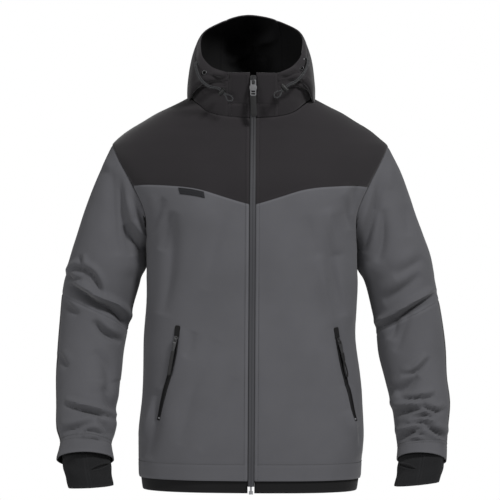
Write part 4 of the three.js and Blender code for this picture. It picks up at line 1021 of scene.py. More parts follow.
# %% Build a panel
def panel(
    name, surface, where, across, up, face, turn_in, closed=False, thick=CLOTH, lining=FLEECE, relief=None
):
    """A closed shell of cloth. where turns shares across and up the panel into the surface's own
    numbers, turn_in gives how far each edge turns in, and relief adds to the outer face."""
    a, b = where(*np.meshgrid(across, up))
    place, out = surface(a, b)
    reach = edge_distances(place)
    drop, painted_seam_highlight = seam_shape(reach, turn_in)
    if relief is not None:
        drop -= relief(a, b, place, reach)
    place = place - out * drop[..., None]
    normal = net_normals(place, closed)
    inside_out = (normal * out).sum(2).mean() < 0
    if inside_out:
        normal = -normal
    inner = place - normal * thick
    rows, columns = place.shape[:2]
    if closed:
        columns -= 1
    points = to_frame(np.concatenate([net[:, :columns].reshape(-1, 3) for net in (place, inner)]))
    outer_faces, inner_faces, rims = shell_faces(rows, columns, closed)
    faces = np.concatenate([outer_faces, inner_faces, rims])
    if inside_out:
        faces = faces[:, ::-1]
    flat_u = np.tile(reach["left"].mean(0)[:columns] * MM, 2 * rows)
    flat_v = np.tile(np.repeat(reach["bottom"].mean(1) * MM, columns), 2)
    corner_map = np.stack([flat_u[faces], flat_v[faces]], -1)
    made = new_object(
        name, points, faces.tolist(), {"cloth": corner_map.reshape(-1, 2)}, materials=[face, lining]
    )
    mesh = made.data
    slots = np.zeros(len(faces), np.int32)
    slots[len(outer_faces) : len(outer_faces) + len(inner_faces)] = 1
    mesh.polygons.foreach_set("material_index", slots)
    # Each point stores the painted highlight beside the seams, under the name edge.
    stored = mesh.attributes.new("edge", "FLOAT", "POINT")
    stored.data.foreach_set("value", np.tile(painted_seam_highlight[:, :columns].ravel(), 2).astype(np.float32))
    mesh.set_sharp_from_angle(angle=math.radians(55))
    area = net_area(place) * MM * MM
    flat = tuple(float((reach[a] + reach[b]).max()) * MM for a, b in (("left", "right"), ("bottom", "top")))
    panels[name] = (made, flat, area)
    print(f"{name}: {flat[0]:.3f} by {flat[1]:.3f} m, {area:.4f} m2, {2 * len(faces)} triangles")
    return made


SEWN = {"left": 0.9, "right": 0.9, "bottom": 0.9, "top": 0.9}
ZIP_SIDE = {**SEWN, "left": 1.5}

# %% [markdown]
# ## Fronts and back
#
# Each front runs from the hem to the slanted yoke seam and from the zip round to the side seam.
# Its outline is four curves. A Coons patch fills the space between them, so the net's rows follow
# the hem at one end and the yoke at the other. Two lines are pressed into the cloth: one beside
# the zip and one above the hem, where the turned edge is stitched down.

# %% Outlines of the body's panels
SIDE_SHARE = 0.62  # the share of a panel's side that is side seam, and not armhole
NECK_COLUMNS = 9
TIP_COLUMNS = 4  # along the shoulder seam
FRONT_COLUMNS = NECK_COLUMNS + TIP_COLUMNS
BACK_COLUMNS = 22
ZIP_STITCH = 12.9  # from the zip's middle
HEM_STITCH = 54

# %% Edges that the panels share
def patch(bottom, top, left, right):
    """Fills an outline of four edges, each a function of a share."""
    corner = [[edge(np.float64(t)) for t in (0, 1)] for edge in (bottom, top)]

    def at(u, v):
        edges = bottom(u), top(u), left(v), right(v)
        return [
            (1 - v) * edges[0][k]
            + v * edges[1][k]
            + (1 - u) * edges[2][k]
            + u * edges[3][k]
            - (1 - u) * (1 - v) * corner[0][0][k]
            - u * (1 - v) * corner[0][1][k]
            - (1 - u) * v * corner[1][0][k]
            - u * v * corner[1][1][k]
            for k in (0, 1)
        ]

    return at


def side_edge(side, facing, v):
    """From the hem up the side seam and round the armhole to the yoke's corner."""
    v = np.asarray(v, float)
    around = mix(180, YOKE_CORNER, np.clip((v - SIDE_SHARE) / (1 - SIDE_SHARE), 0, 1))
    angle, height = armhole(side, around if facing == "front" else 360 - around)
    on_side = v <= SIDE_SHARE
    return np.where(on_side, side * 90.0, angle), np.where(
        on_side, mix(HEM_HEIGHT, UNDERARM_HEIGHT, v / SIDE_SHARE), height
    )


def arm_edge(side, facing, v):
    """From the yoke's corner up round the armhole to the shoulder tip."""
    around = mix(YOKE_CORNER, 0, np.asarray(v, float))
    return armhole(side, around if facing == "front" else 360 - around)


def yoke_seam(side, u):
    """Between a front and its yoke, by share from the zip to the armhole."""
    corner = armhole(side, YOKE_CORNER)[0]
    start = edge_angle(side * ZIP_EDGE, YOKE_SEAM("height", 0))
    return mix(start, corner, u), YOKE_SEAM("height", u)

# %% Outlines of the fronts
def front_edge(side, low, high):
    return lambda v: (edge_angle(side * ZIP_EDGE, mix(low, high, v)), mix(low, high, v))


def front_where(side):
    return patch(
        lambda u: (mix(edge_angle(side * ZIP_EDGE, HEM_HEIGHT), side * 90, u), HEM_HEIGHT + 0 * u),
        lambda u: yoke_seam(side, u),
        front_edge(side, HEM_HEIGHT, YOKE_SEAM("height", 0)),
        lambda v: side_edge(side, "front", v),
    )


def neck_angles(side):
    """Angles of the columns from the zip to the shoulder seam's upper end."""
    edge = side * edge_angle(side * ZIP_EDGE, NECKLINE("height", 0))
    return list(np.linspace(edge, seam_angle(side), 4)) + list(np.linspace(seam_angle(side), 90, 7)[1:])


def yoke_top(side, u):
    """Along the neckline, then down the shoulder seam."""
    index = np.asarray(u, float) * FRONT_COLUMNS
    angle = np.interp(index, range(FRONT_COLUMNS + 1), neck_angles(side) + [90] * TIP_COLUMNS)
    along = np.clip(index - NECK_COLUMNS, 0, TIP_COLUMNS) / TIP_COLUMNS
    shoulder = mix(NECKLINE("height", 90), SHOULDER_TIP_HEIGHT, along)
    return side * angle, np.where(index <= NECK_COLUMNS, NECKLINE("height", angle), shoulder)


def front_yoke_where(side):
    return patch(
        lambda u: yoke_seam(side, u),
        lambda u: yoke_top(side, u),
        front_edge(side, YOKE_SEAM("height", 0), NECKLINE("height", 0)),
        lambda v: arm_edge(side, "front", v),
    )

# %% Outlines of the back
def behind(pair):
    """The same edge with its angles counted round the back."""
    angle, height = pair
    return np.where(angle < 0, angle + 360, angle), height


def back_seam(u):
    """Between the back and its yoke."""
    angle, height = armhole(LEFT, 360 - YOKE_CORNER)
    return mix(angle, 360 - angle, u), height - BACK_YOKE_DIP * np.sin(math.pi * u)


BACK_WHERE = patch(
    lambda u: (mix(90, 270, u), HEM_HEIGHT + 0 * u),
    back_seam,
    lambda v: side_edge(LEFT, "back", v),
    lambda v: behind(side_edge(RIGHT, "back", v)),
)


def back_yoke_top(u):
    """Up one shoulder seam, along the neckline behind and down the other."""
    index = np.asarray(u, float) * BACK_COLUMNS
    far = BACK_COLUMNS - TIP_COLUMNS
    angle = np.interp(index, [TIP_COLUMNS, far], [90, 270])
    rise = np.clip(np.minimum(index, BACK_COLUMNS - index), 0, TIP_COLUMNS) / TIP_COLUMNS
    shoulder = mix(SHOULDER_TIP_HEIGHT, NECKLINE("height", 90), rise)
    return angle, np.where((index < TIP_COLUMNS) | (index > far), shoulder, neck_height(angle))


BACK_YOKE_WHERE = patch(
    back_seam,
    back_yoke_top,
    lambda v: arm_edge(LEFT, "back", v),
    lambda v: behind(arm_edge(RIGHT, "back", v)),
)
print("the yoke's seam rises from", YOKE_SEAM("height", 0), "to", YOKE_SEAM("height", 1), "mm")

# %% Pocket lines, which the fronts sink towards
POCKETS = {
    LEFT: [(160.5, 288), (164.5, 264), (170, 237), (178, 205), (183, 168), (187, 133)],
    RIGHT: [(-140, 290), (-142.5, 268), (-147, 245), (-154, 216), (-166, 175), (-178, 133)],
}
POCKET_SEAT = (1.9, 5.0)  # depth and half width of the hollow that each zip lies in
FAR = 999  # a distance past which nothing is pressed
slits = {
    side: smooth_line([(x, 0, h) for x, h in points], 10)[:, [0, 2]] for side, points in POCKETS.items()
}
print("pocket lines of", [round(run_lengths(slit)[-1]) for slit in slits.values()], "mm")


def slit_distance(side, place):
    """How far each point of the front is from the pocket's line, seen from the front."""
    flat = place.reshape(-1, 3)[:, [0, 2]]
    nearest = np.full(len(flat), np.inf)
    for point in slits[side]:
        nearest = np.minimum(nearest, np.hypot(*(flat - point).T))
    nearest = np.where(place.reshape(-1, 3)[:, 1] > 0, FAR, nearest)
    return nearest.reshape(place.shape[:2])


def pressed(distance, depth, width):
    """A narrow line pressed into cloth."""
    return -depth * np.exp(-((distance / width) ** 2))


def zip_fold(place):
    """The turned edge beside the zip, with its stitched line."""
    beside = np.where(place[..., 1] < 0, np.abs(place[..., 0]), FAR)
    fold = 0.5 * ramp(ZIP_STITCH - beside, 0, 3) * ramp(beside, ZIP_EDGE, ZIP_EDGE + 3)
    return pressed(beside - ZIP_STITCH, 0.45, 1.4) + fold


def body_relief(side):
    """Stitched lines, the turned hem and the shallow seat of the pocket's zip."""

    def at(angle, height, place, reach):
        out = pressed(height - HEM_STITCH, 0.45, 1.5)
        out = out + 0.35 * ramp(HEM_STITCH - 1 - height, 0, 3) * ramp(height, HEM_HEIGHT, HEM_HEIGHT + 5)
        if side:
            out = out + zip_fold(place) + pressed(slit_distance(side, place), *POCKET_SEAT)
        return out

    return at

# %% Sew the body
rows = [np.linspace(0, SIDE_SHARE, 126), np.linspace(SIDE_SHARE, 1, 36), spread(1, 0.012)]
LOWER_ROWS = np.unique(np.concatenate(rows).round(6))
HEMMED = {**SEWN, "bottom": 0.6}
for name, side in SIDES:
    panel(f"front_{name}_cloth", body, front_where(side), spread(74, 0.016), LOWER_ROWS, GREY,
          {**ZIP_SIDE, "bottom": 0.6}, relief=body_relief(side))
    panel(f"front_yoke_{name}_cloth", body, front_yoke_where(side), spread(74, 0.016), spread(44, 0.03),
          CHARCOAL, ZIP_SIDE, relief=body_relief(side))
panel("back_cloth", body, BACK_WHERE, spread(124, 0.01), LOWER_ROWS, GREY, HEMMED, relief=body_relief(0))
panel("back_yoke_cloth", body, BACK_YOKE_WHERE, spread(124, 0.01), spread(44, 0.03), CHARCOAL, SEWN)

# %% [markdown]
# ## Sleeves
#
# A sleeve is a tube that bends at the elbow, where a slanted seam joins the upper part to the
# forearm. The forearm has a charcoal panel behind. The sleeve's mouth is turned up and stitched
# twice, so a stitched line is pressed in there too, and the edge stays a little proud.

# %% Sew the sleeves
SLEEVE_STITCH = 490
SECOND_STITCH = 6  # from the first row of stitches to the second
FOREARM_BACK = (243.13, 374.22)
FOREARM_COLUMN = 2.9  # degrees


def elbow(around):
    """How far down the sleeve the elbow's slanted seam is."""
    return ELBOW_SEAM - ELBOW_SLANT * np.cos(np.radians(around))


def mouth_relief(around, down, place, reach):
    """Two stitched lines and the turned edge of a sleeve's mouth."""
    second = SLEEVE_STITCH + SECOND_STITCH
    out = pressed(down - SLEEVE_STITCH, 0.5, 1.6) + pressed(down - second, 0.4, 1.4)
    return out + 0.5 * ramp(down, second, second + 3)


for name, side in SIDES:
    panel(f"sleeve_upper_{name}_cloth", sleeves[side], lambda u, v: (360 * u, elbow(360 * u) * v),
          np.linspace(0, 1, 137), spread(70, 0.014), SHADED_SLEEVE_GREY, {"bottom": 0.9, "top": 0.7}, closed=True)
    for part, (first, last), material in (
        ("front", (FOREARM_BACK[1] - 360, FOREARM_BACK[0]), SHADED_SLEEVE_GREY),
        ("back", FOREARM_BACK, CHARCOAL),
    ):
        columns = round((last - first) / FOREARM_COLUMN)
        panel(
            f"forearm_{part}_{name}_cloth",
            sleeves[side],
            lambda u, v, f=first, w=last - first: (f + w * u, mix(elbow(f + w * u), SLEEVE_LENGTH, v)),
            spread(columns, 0.012),
            spread(88, 0.012),
            material,
            {"left": 0.9, "right": 0.9, "bottom": 0.9, "top": 0.4},
            relief=mouth_relief,
        )

# %% [markdown]
# ## Collar and hood
#
# Beside the zip the collar has a lower piece and a chin guard, and a stand goes round the neck. The
# hood is cut in three, two sides and a middle panel, so that it can be round. Its rim is turned over
# and stitched twice to hold the drawcord. One long net could be coloured in parts, but a maker cuts
# each piece by itself, and each can be taken away by itself.

# %% Sew the collar and the hood
HOOD_SEAMS = (154.29, 205.71)
RIM_STITCHES = (17, 3.4)  # below the rim
STAND_LAP = 3.2  # the stand's top goes on behind the hood's seam and closes it


def rim_relief(angle, up, place, reach):
    """The tunnel of the drawcord between two stitched lines."""
    below = reach["top"]
    out = pressed(below - RIM_STITCHES[0], 0.6, 1.7) + pressed(below - RIM_STITCHES[1], 0.3, 1.3)
    return out + 0.5 * ramp(RIM_STITCHES[0] - below, 0, 3)


for name, side in SIDES:
    first = side * neck_angles(side)[0]
    last = side * seam_angle(side)
    for part, low, high, rows in (
        ("collar_front", neck_height, lambda a: COLLAR_SEAM_HEIGHT + 0 * a, 9),
        ("chin_guard", lambda a: COLLAR_SEAM_HEIGHT + 0 * a, lambda a: COLLAR_TOP + 0 * a, 18),
    ):
        panel(
            f"{part}_{name}_cloth",
            collar,
            lambda u, v, f=first, g=last, low=low, high=high: (
                mix(f, g, u),
                mix(low(mix(f, g, u)), high(mix(f, g, u)), v),
            ),
            spread(16, 0.06),
            spread(rows, 0.06),
            CHARCOAL,
            ZIP_SIDE,
            relief=lambda angle, height, place, reach: zip_fold(place),
        )
around_neck = (seam_angle(LEFT), 360 - seam_angle(RIGHT))


def stand_where(u, v):
    angle = mix(*around_neck, u)
    return angle, mix(neck_height(angle), stand_height(angle) + STAND_LAP, v)


panel("collar_stand_cloth", collar, stand_where, spread(150, 0.01), spread(8, 0.1), CHARCOAL, SEWN)
for name, first, last, columns in (
    ("hood_side_left", around_neck[0], HOOD_SEAMS[0], 84),
    ("hood_centre", HOOD_SEAMS[0], HOOD_SEAMS[1], 40),
    ("hood_side_right", HOOD_SEAMS[1], around_neck[1], 84),
):
    panel(f"{name}_cloth", hood, lambda u, v, f=first, g=last: (mix(f, g, u), v),
          spread(columns, 0.012), spread(60, 0.016), CHARCOAL, {**SEWN, "top": 0.5}, relief=rim_relief)

# %% [markdown]
# ## Cuffs and hem band
#
# The storm cuffs are knitted tubes sewn inside the sleeves, with a slot for the thumb. Their ribs
# are real here: the net has about four columns to a rib and moves in and out by a third of a
# millimetre. The slot could be cut out with a boolean, but that tore the thin knit, so it is pressed
# in between two lips. The elastic band under the hem is tucked in, and its fine ribs are left to
# the finish.

# %% Shape the cuffs
CUFFS = {
    RIGHT: {"x": 298, "middle": -97, "height": 9, "half": 42, "deep": 31, "tip": -3},
    LEFT: {"x": 310, "middle": -79, "height": 16, "half": 42, "deep": 31, "tip": 4},
}
CUFF_ROOT = 496
CUFF_CLOTH = 1.8
RIB = 3.0  # pitch of the knit's ribs
RIB_DEPTH = 0.34
SLOT_DEPTH = 3.2  # how far the closed slot is drawn in between its folded edges
SLOT_LIPS = (1.8, 0.6)  # how far its upper and lower lip stand up
THUMBS = {  # middle of the slot, half its length, half its gape and its slope
    RIGHT: {"x": -280, "h": 47, "half": 19, "gape": 3.0, "slope": 0.30},
    LEFT: {"x": 289, "h": 50, "half": 19, "gape": 3.0, "slope": -0.24},
}


def plain_cuff(side):
    """From inside the sleeve's mouth out to the cuff's own end."""
    cuff = CUFFS[side]

    def at(around, along):
        around, along = grid(around, along)
        c = np.cos(np.radians(around))
        s = np.sin(np.radians(around))
        root, out = sleeves[side](around, CUFF_ROOT)
        root = root - out * (CLOTH + 0.9)
        x = side * (cuff["x"] + cuff["half"] * c)
        end = np.stack([x, cuff["middle"] - cuff["deep"] * s, cuff["height"] + cuff["tip"] * c], -1)
        place = mix(root, end, along[..., None])
        place[..., 0] = mix(root[..., 0], end[..., 0], np.clip(along, 0, 1) ** 1.8)
        return place

    return at


def cuff_surface(side):
    """A cuff that sags a little into soft rings."""
    plain = plain_cuff(side)

    def at(around, along):
        place = plain(around, along)
        out = normals_of(plain, around, along, (2, 0.02), side)
        sag = 0.9 * np.sin(place[..., 2] / 5.6 + around / 31) * np.sin(math.pi * np.clip(along, 0, 1))
        return place + out * sag[..., None], out

    return at

# %% Knit the cuffs
def from_thumb(side, x, h):
    """Distances along and across the thumb's slot."""
    slot = THUMBS[side]
    lean = math.atan(slot["slope"])
    x = x - slot["x"]
    h = h - slot["h"]
    return x * math.cos(lean) + h * math.sin(lean), h * math.cos(lean) - x * math.sin(lean)


def rib_relief(around, along, place, reach):
    """The knit's ribs, its folded end and the thumb's slot."""
    ribs = RIB_DEPTH * np.cos(2 * math.pi * reach["left"] / RIB)
    out = ribs * ramp(reach["top"], 0, 3) + 0.3 * np.exp(-((reach["top"] / 3) ** 2))
    side = LEFT if place[..., 0].mean() > 0 else RIGHT
    slot = THUMBS[side]
    far, off = from_thumb(side, place[..., 0], place[..., 2])
    edge = np.abs(off) - slot["gape"] * np.clip(1 - (far / slot["half"]) ** 2, 0, 1)
    lip = np.exp(-(((edge - 1.0) / 1.7) ** 2)) * ramp(slot["half"] + 3 - np.abs(far), 0, 5)
    facing = place[..., 1] < CUFFS[side]["middle"]
    sunk = SLOT_DEPTH * ramp(0.4 - edge, 0, 1.4) * (np.abs(far) < slot["half"])
    return out + facing * (lip * np.where(off > 0, *SLOT_LIPS) - sunk)


for name, side in SIDES:
    for part, first, last, rows in (("outer", -90, 90, 26), ("thumb", 90, 270, 90)):
        panel(f"cuff_{part}_{name}_cloth", cuff_surface(side),
              lambda u, v, f=first, w=last - first: (f + w * u, v),
              np.linspace(0, 1, 181), spread(rows, 0.03, (False, True)), KNIT,
              {"left": 0.7, "right": 0.7, "top": 0.4}, thick=CUFF_CLOTH, lining=KNIT, relief=rib_relief)

# %% Make the elastic band
BAND_TUCK = (7, 3)  # how far in it lies at its lower and its upper edge
BAND_HEIGHT = HEM_HEIGHT + 6
BAND_CLOTH = 2.0


def band(angle, height):
    """The hem's outline carried straight down, and in by the tuck."""
    place, out = body(angle, HEM_HEIGHT + 0 * angle)
    out[..., 2] = 0
    out = unit(out)
    place = place - out * mix(*BAND_TUCK, height / BAND_HEIGHT)[..., None]
    place[..., 2] = height
    return place, out


band_ends = (float(edge_angle(ZIP_EDGE, 0)), float(360 + edge_angle(-ZIP_EDGE, 0)))
panel("hem_band_cloth", band, lambda u, v: (mix(*band_ends, u), v * BAND_HEIGHT),
      spread(300, 0.004), spread(9, 0.1), ELASTIC, {"left": 0.5, "right": 0.5, "bottom": 0.6},
      thick=BAND_CLOTH)
print(len(panels), "panels")

# %% [markdown]
# ## The front zip
#
# The zip is a coated tape whose two flaps meet over the teeth, so no teeth show. It could be a
# painted stripe, but the groove on each side throws a real shadow, and painted shade darkens the
# grooves and the cleft as well. The profile across it is a short table of distances from the middle
# and heights: a low groove beside each front, a flap that is slightly rounded, and a fine cleft
# where the flaps meet.

# %% Make the front zip
ZIP_ENDS = (12.8, 762)
ZIP_HALF = 6.2
ZIP_FILM_CLOTH = 1.2
ZIP_PROFILE = (
    (0, 0.25, 0.6, 1.6, 3.4, 4.7, 5.1, 5.4, 6.2),
    (-0.1, 0.05, 0.3, 0.45, 0.5, 0.35, -0.1, -1.4, -1.5),
)


def zip_face(across, height):
    """The front's middle, on the body and on up the collar, by distance across and height."""
    across, height = grid(across, height)
    low = body(edge_angle(across, height), height)
    high = collar(edge_angle(across, NECKLINE("height", 0)), height)
    lower = (height < neck_height(0))[..., None]
    return np.where(lower, low[0], high[0]), np.where(lower, low[1], high[1])


def film_finish():
    """Coated zip tape: nearly black at the collar, grey below the yoke, with painted shade in its grooves and
    in its cleft.
    """
    material, tree, shader = new_finish("coated_zip_tape", 0.62, specular=0.3)
    place = add_node(tree, "ShaderNodeTexCoord").outputs["Object"]
    height = add_node(tree, "ShaderNodeSeparateXYZ", inputs={0: place}).outputs[2]

    def mapped(value, *ends):
        inputs = {"Value": value, **dict(zip(("From Min", "From Max", "To Min", "To Max"), ends))}
        return add_node(tree, "ShaderNodeMapRange", inputs=inputs).outputs[0]

    fade = two_tones(tree, mapped(height, -0.21, 0.02), (0.043, 0.010), (0.98, 0.99, 1.10))
    tones = fade.node.color_ramp.elements
    tones[1].color = grey_tone(0.010, (0.98, 0.99, 1.12))
    tones.new(0.62).color = grey_tone(0.017, (0.98, 0.99, 1.12))
    # Painted shade: the colour darkens in the groove beside each front and in the cleft where the flaps meet.
    away = maths(tree, "ABSOLUTE", maths(tree, "SUBTRACT", cloth_ways(tree)[0], 6.4 * MM))
    groove = mapped(away, 4.9 * MM, 5.5 * MM, 1, 0.12)
    cleft = mapped(away, 0.25 * MM, 0.8 * MM, 0.72, 1)
    shade = maths(tree, "MULTIPLY", groove, cleft)
    darker = add_node(tree, "ShaderNodeVectorMath", operation="SCALE", inputs={0: fade, 3: shade})
    tree.links.new(darker.outputs[0], shader.inputs["Base Color"])
    return material


ZIP_FILM = film_finish()
zip_across = np.unique([side * x for x in ZIP_PROFILE[0] for side in (LEFT, RIGHT)])
panel("front_zip_cloth", zip_face, lambda u, v: (mix(-ZIP_HALF, ZIP_HALF, u), mix(*ZIP_ENDS, v)),
      (zip_across + ZIP_HALF) / (2 * ZIP_HALF), np.linspace(0, 1, 260), ZIP_FILM, {}, thick=ZIP_FILM_CLOTH,
      lining=ZIP_FILM, relief=lambda across, height, place, reach: np.interp(np.abs(across), *ZIP_PROFILE))

# %% [markdown]
# ## Pocket zips and the label
#
# Each slanted pocket has a black zip between two thin welts, and at its top a small garage of dark
# cloth that covers the slider's end. They are drawn along the pocket's own line: a section is
# carried down the line, upright on the cloth. The label is a blank strip of woven tape that
# follows the yoke's seam.

# %% Carry a section along a line
def sweep(name, centres, sides, outs, section, materials, slots, widths):
    """A closed bar along a line. section lists distances across and out, round its outline."""
    count = len(section)
    rings = [
        centres[i] + sides[i] * across * widths[i] + outs[i] * raised
        for i in range(len(centres))
        for across, raised in section
    ]
    around = run_lengths(np.array([*section, section[0]])) * MM
    along = run_lengths(centres) * MM
    corners = []
    for i in range(len(centres) - 1):
        for k in range(count):
            corners += [(around[a], along[b]) for a, b in ((k, i), (k + 1, i), (k + 1, i + 1), (k, i + 1))]
    corners += [(0, 0)] * (2 * count)
    faces = tube_faces(len(centres), count)
    made = new_object(name, to_frame(np.array(rings)), faces, {"cloth": corners}, materials=materials)
    made.data.polygons.foreach_set("material_index", list(slots) * (len(centres) - 1) + [0, 0])
    return made


def pocket_line(side, ahead=0.0, steps=1):
    """The pocket's line on the cloth, with ways across and out; ahead adds a run above its top."""
    flat = slits[side]
    if ahead:
        start = unit(flat[0] - flat[2])
        flat = np.array([flat[0] + start * ahead * t for t in np.linspace(1, 0.04, steps)])
    place, out = body(edge_angle(flat[:, 0], flat[:, 1]), flat[:, 1])
    down = unit(np.gradient(place, axis=0))
    return place, unit(np.cross(out, down)), out

# %% Make the pocket zips and their garages
BLACK_TAPE = even_finish("black_zip_tape", (0.003, 0.003, 0.0035), 0.75, 0.2)
WELT = even_finish("pocket_welt", (0.006, 0.006, 0.0065), 0.7, 0.25)
GARAGE = cloth_finish("garage_cloth", 0.0075, (1, 0.98, 1.04), SOFTSHELL, 0.05)
TAPE_LIFT = 0.5
TAPE_WIDER = 1.18
TAPE_SLOTS = [1, 1, 1, 0, 0, 0, 0, 0, 0, 1, 1, 1, 0, 0]  # a welt, the tape and the other welt
ZIP_SECTION = [
    (-3.7, -1.0), (-3.4, 0.5), (-2.9, 0.95), (-2.3, 0.8), (-1.9, -0.2), (-0.8, 0.0), (0, 0.15),
    (0.8, 0.0), (1.9, -0.2), (2.3, 0.8), (2.9, 0.95), (3.4, 0.5), (3.7, -1.0), (0, -1.6),
]
GARAGE_LENGTH = 20.5  # above the zip's top
GARAGE_ROWS = 14
GARAGE_SECTION = [
    (-5.7, -0.4), (-5.6, 0.8), (-4.9, 1.45), (-1.5, 1.7), (1.5, 1.7), (4.9, 1.45), (5.6, 0.8),
    (5.7, -0.4), (0, -0.8),
]
small_pieces = []


def fitted(made, body_name, node, slot):
    """Notes the body that a small piece rides on, the node that it stands for and its slot."""
    small_pieces.append((made, body_name, node, slot))


for name, side in SIDES:
    centres, across, outs = pocket_line(side)
    lifted = centres + outs * TAPE_LIFT
    wider = [TAPE_WIDER] * len(centres)
    made = sweep(
        f"pocket_zip_{name}_tape", lifted, across, outs, ZIP_SECTION, [BLACK_TAPE, WELT], TAPE_SLOTS, wider
    )
    fitted(made, "shell", f"pocket_zip_{name}", "zip_tape")
    line = pocket_line(side, GARAGE_LENGTH, GARAGE_ROWS)
    taper = np.interp(np.linspace(0, 1, GARAGE_ROWS), (0, 0.08, 0.2, 1), (0.62, 0.9, 1, 0.92))
    made = sweep(f"pocket_garage_{name}_cloth", *line, GARAGE_SECTION, [GARAGE], [0] * 9, taper)
    fitted(made, "shell", f"pocket_garage_{name}", "softshell_charcoal")
    print(made.name, len(made.data.polygons), "faces")

# %% Weave the label
LABEL = cloth_finish("label_weave", 0.0145, (0.97, 0.98, 1.12), (0.5, 0.6, 0.08), 0.04)
LABEL_SPAN = (0.292, 0.488)  # shares of the yoke's seam
LABEL_DROP = 2.6
LABEL_TALL = 12
LABEL_RAISED = 1.15
LABEL_CLOTH = 0.8
LABEL_TURN = 0.35


def label_face(angle, height):
    place, out = body(angle, height)
    return place + out * LABEL_RAISED, out


def label_where(u, v):
    angle, height = yoke_seam(RIGHT, mix(*LABEL_SPAN, u))
    return angle, height - LABEL_DROP - LABEL_TALL * (1 - v)


panel("label_cloth", label_face, label_where, spread(40, 0.03), spread(12, 0.08), LABEL,
      dict.fromkeys(SEWN, LABEL_TURN), thick=LABEL_CLOTH, lining=LABEL)

# %% [markdown]
# ## Hard fittings
#
# The eyelets, cord locks, links and tabs are small turned or cut pieces. Round ones are made like
# on a lathe, by turning a profile. Flat ones start as a filled outline with a rounded edge, which
# is how Blender's curves make plates. Both are set in place in their own points, so every object
# stays at the origin. The metal is dark and a little uneven.

# %% Turn round pieces
def placed(points, origin, axes):
    """Points in a piece's own millimetres, set at origin along three axes."""
    return np.asarray(points, float) @ np.asarray(axes, float) + np.asarray(origin, float)


def lathe(name, profile, steps, origin, axes, materials, slots):
    """Turns a profile of radius and height about the third axis."""
    turns = np.linspace(0, 2 * math.pi, steps, endpoint=False)
    points = [(r * math.cos(t), r * math.sin(t), z) for r, z in profile for t in turns]
    faces = tube_faces(len(profile), steps)
    kinds = [s for s in slots for _ in range(steps)]
    made = new_object(name, placed(points, origin, axes) * MM, faces, materials=materials)
    made.data.polygons.foreach_set("material_index", [*kinds, kinds[0], kinds[-1]])
    return made

# %% Cut plates
def rounded(points, radius):
    """An outline with its corners rounded off."""
    points = np.array(points, float)
    out = []
    for before, here, after in zip(np.roll(points, 1, 0), points, np.roll(points, -1, 0)):
        lead = here - before
        follow = after - here
        reach = min(radius, np.linalg.norm(lead) / 2.2, np.linalg.norm(follow) / 2.2)
        start = here - unit(lead) * reach
        end = here + unit(follow) * reach
        for t in np.linspace(0, 1, 5):
            out.append(start * (1 - t) ** 2 + 2 * here * t * (1 - t) + end * t**2)
    return out


def plate_mesh(rings, thick, bevel):
    """The mesh of a flat piece with rounded edges, in its own millimetres."""
    curve = bpy.data.curves.new("plate", "CURVE")
    curve.dimensions = "2D"
    curve.fill_mode = "BOTH"
    curve.extrude = thick / 2 - bevel
    curve.bevel_depth = bevel
    curve.bevel_resolution = 2
    curve.offset = -bevel
    for ring in rings:
        spline = curve.splines.new("POLY")
        spline.points.add(len(ring) - 1)
        for point, (x, y) in zip(spline.points, ring):
            point.co = (x, y, 0, 1)
        spline.use_cyclic_u = True
    source = bpy.data.objects.new("plate", curve)
    scene.collection.objects.link(source)
    bpy.context.view_layer.update()
    mesh = bpy.data.meshes.new_from_object(source.evaluated_get(bpy.context.evaluated_depsgraph_get()))
    bpy.data.objects.remove(source)
    points = np.empty(len(mesh.vertices) * 3)
    mesh.vertices.foreach_get("co", points)
    return points.reshape(-1, 3), [tuple(p.vertices) for p in mesh.polygons]


def plates(name, parts, origin, axes, finish):
    """Several plates as one mesh; each part has rings, thickness, bevel and perhaps a lift."""
    points = np.empty((0, 3))
    faces = []
    for part in parts:
        own, own_faces = plate_mesh(part["rings"], part["thick"], part["bevel"])
        own[:, 2] += part.get("lift", 0)
        faces += [tuple(i + len(points) for i in face) for face in own_faces]
        points = np.vstack([points, own])
    return new_object(name, placed(points, origin, axes) * MM, faces, materials=[finish])


def sealed(made):
    """Merges doubled points, so that every shell is closed, and turns its faces outwards."""
    work = bmesh.new()
    work.from_mesh(made.data)
    bmesh.ops.remove_doubles(work, verts=work.verts, dist=0.004 * MM)
    bmesh.ops.recalc_face_normals(work, faces=work.faces)
    work.to_mesh(made.data)
    work.free()
    made.data.set_sharp_from_angle(angle=math.radians(35))

# %% Finishes for the fittings
def fitting_finish(name, tone, roughness, specular, metal=0.0):
    """Moulded rubber or metal with a fine, faint grain."""
    material, tree, shader = new_finish(name, roughness, specular=specular, metal=metal)
    noise = speckle(tree, 700, 3)
    tones = two_tones(tree, noise, (tone * 0.75, tone * 1.25), (1, 1, 1.04))
    tree.links.new(tones, shader.inputs["Base Color"])
    bumped(tree, shader, noise, 0.05, 0.5)
    return material


GUNMETAL = fitting_finish("gunmetal", 0.05, 0.34, 0.6, metal=0.55)
LINK_METAL = fitting_finish("link_metal", 0.15, 0.45, 0.5, metal=0.4)
PALE_METAL = fitting_finish("pale_metal", 0.5, 0.35, 0.5, metal=0.9)
RUBBER = fitting_finish("moulded_rubber", 0.0075, 0.55, 0.35)
# A dark disc closes each eyelet's hole: painted shade where the open hole would be dark.
HOLE_SHADE = even_finish("painted_hole_shade", (0.002, 0.002, 0.002), 0.9, 0.05)
print("finishes", [m.name for m in (GUNMETAL, LINK_METAL, PALE_METAL, RUBBER, HOLE_SHADE)])

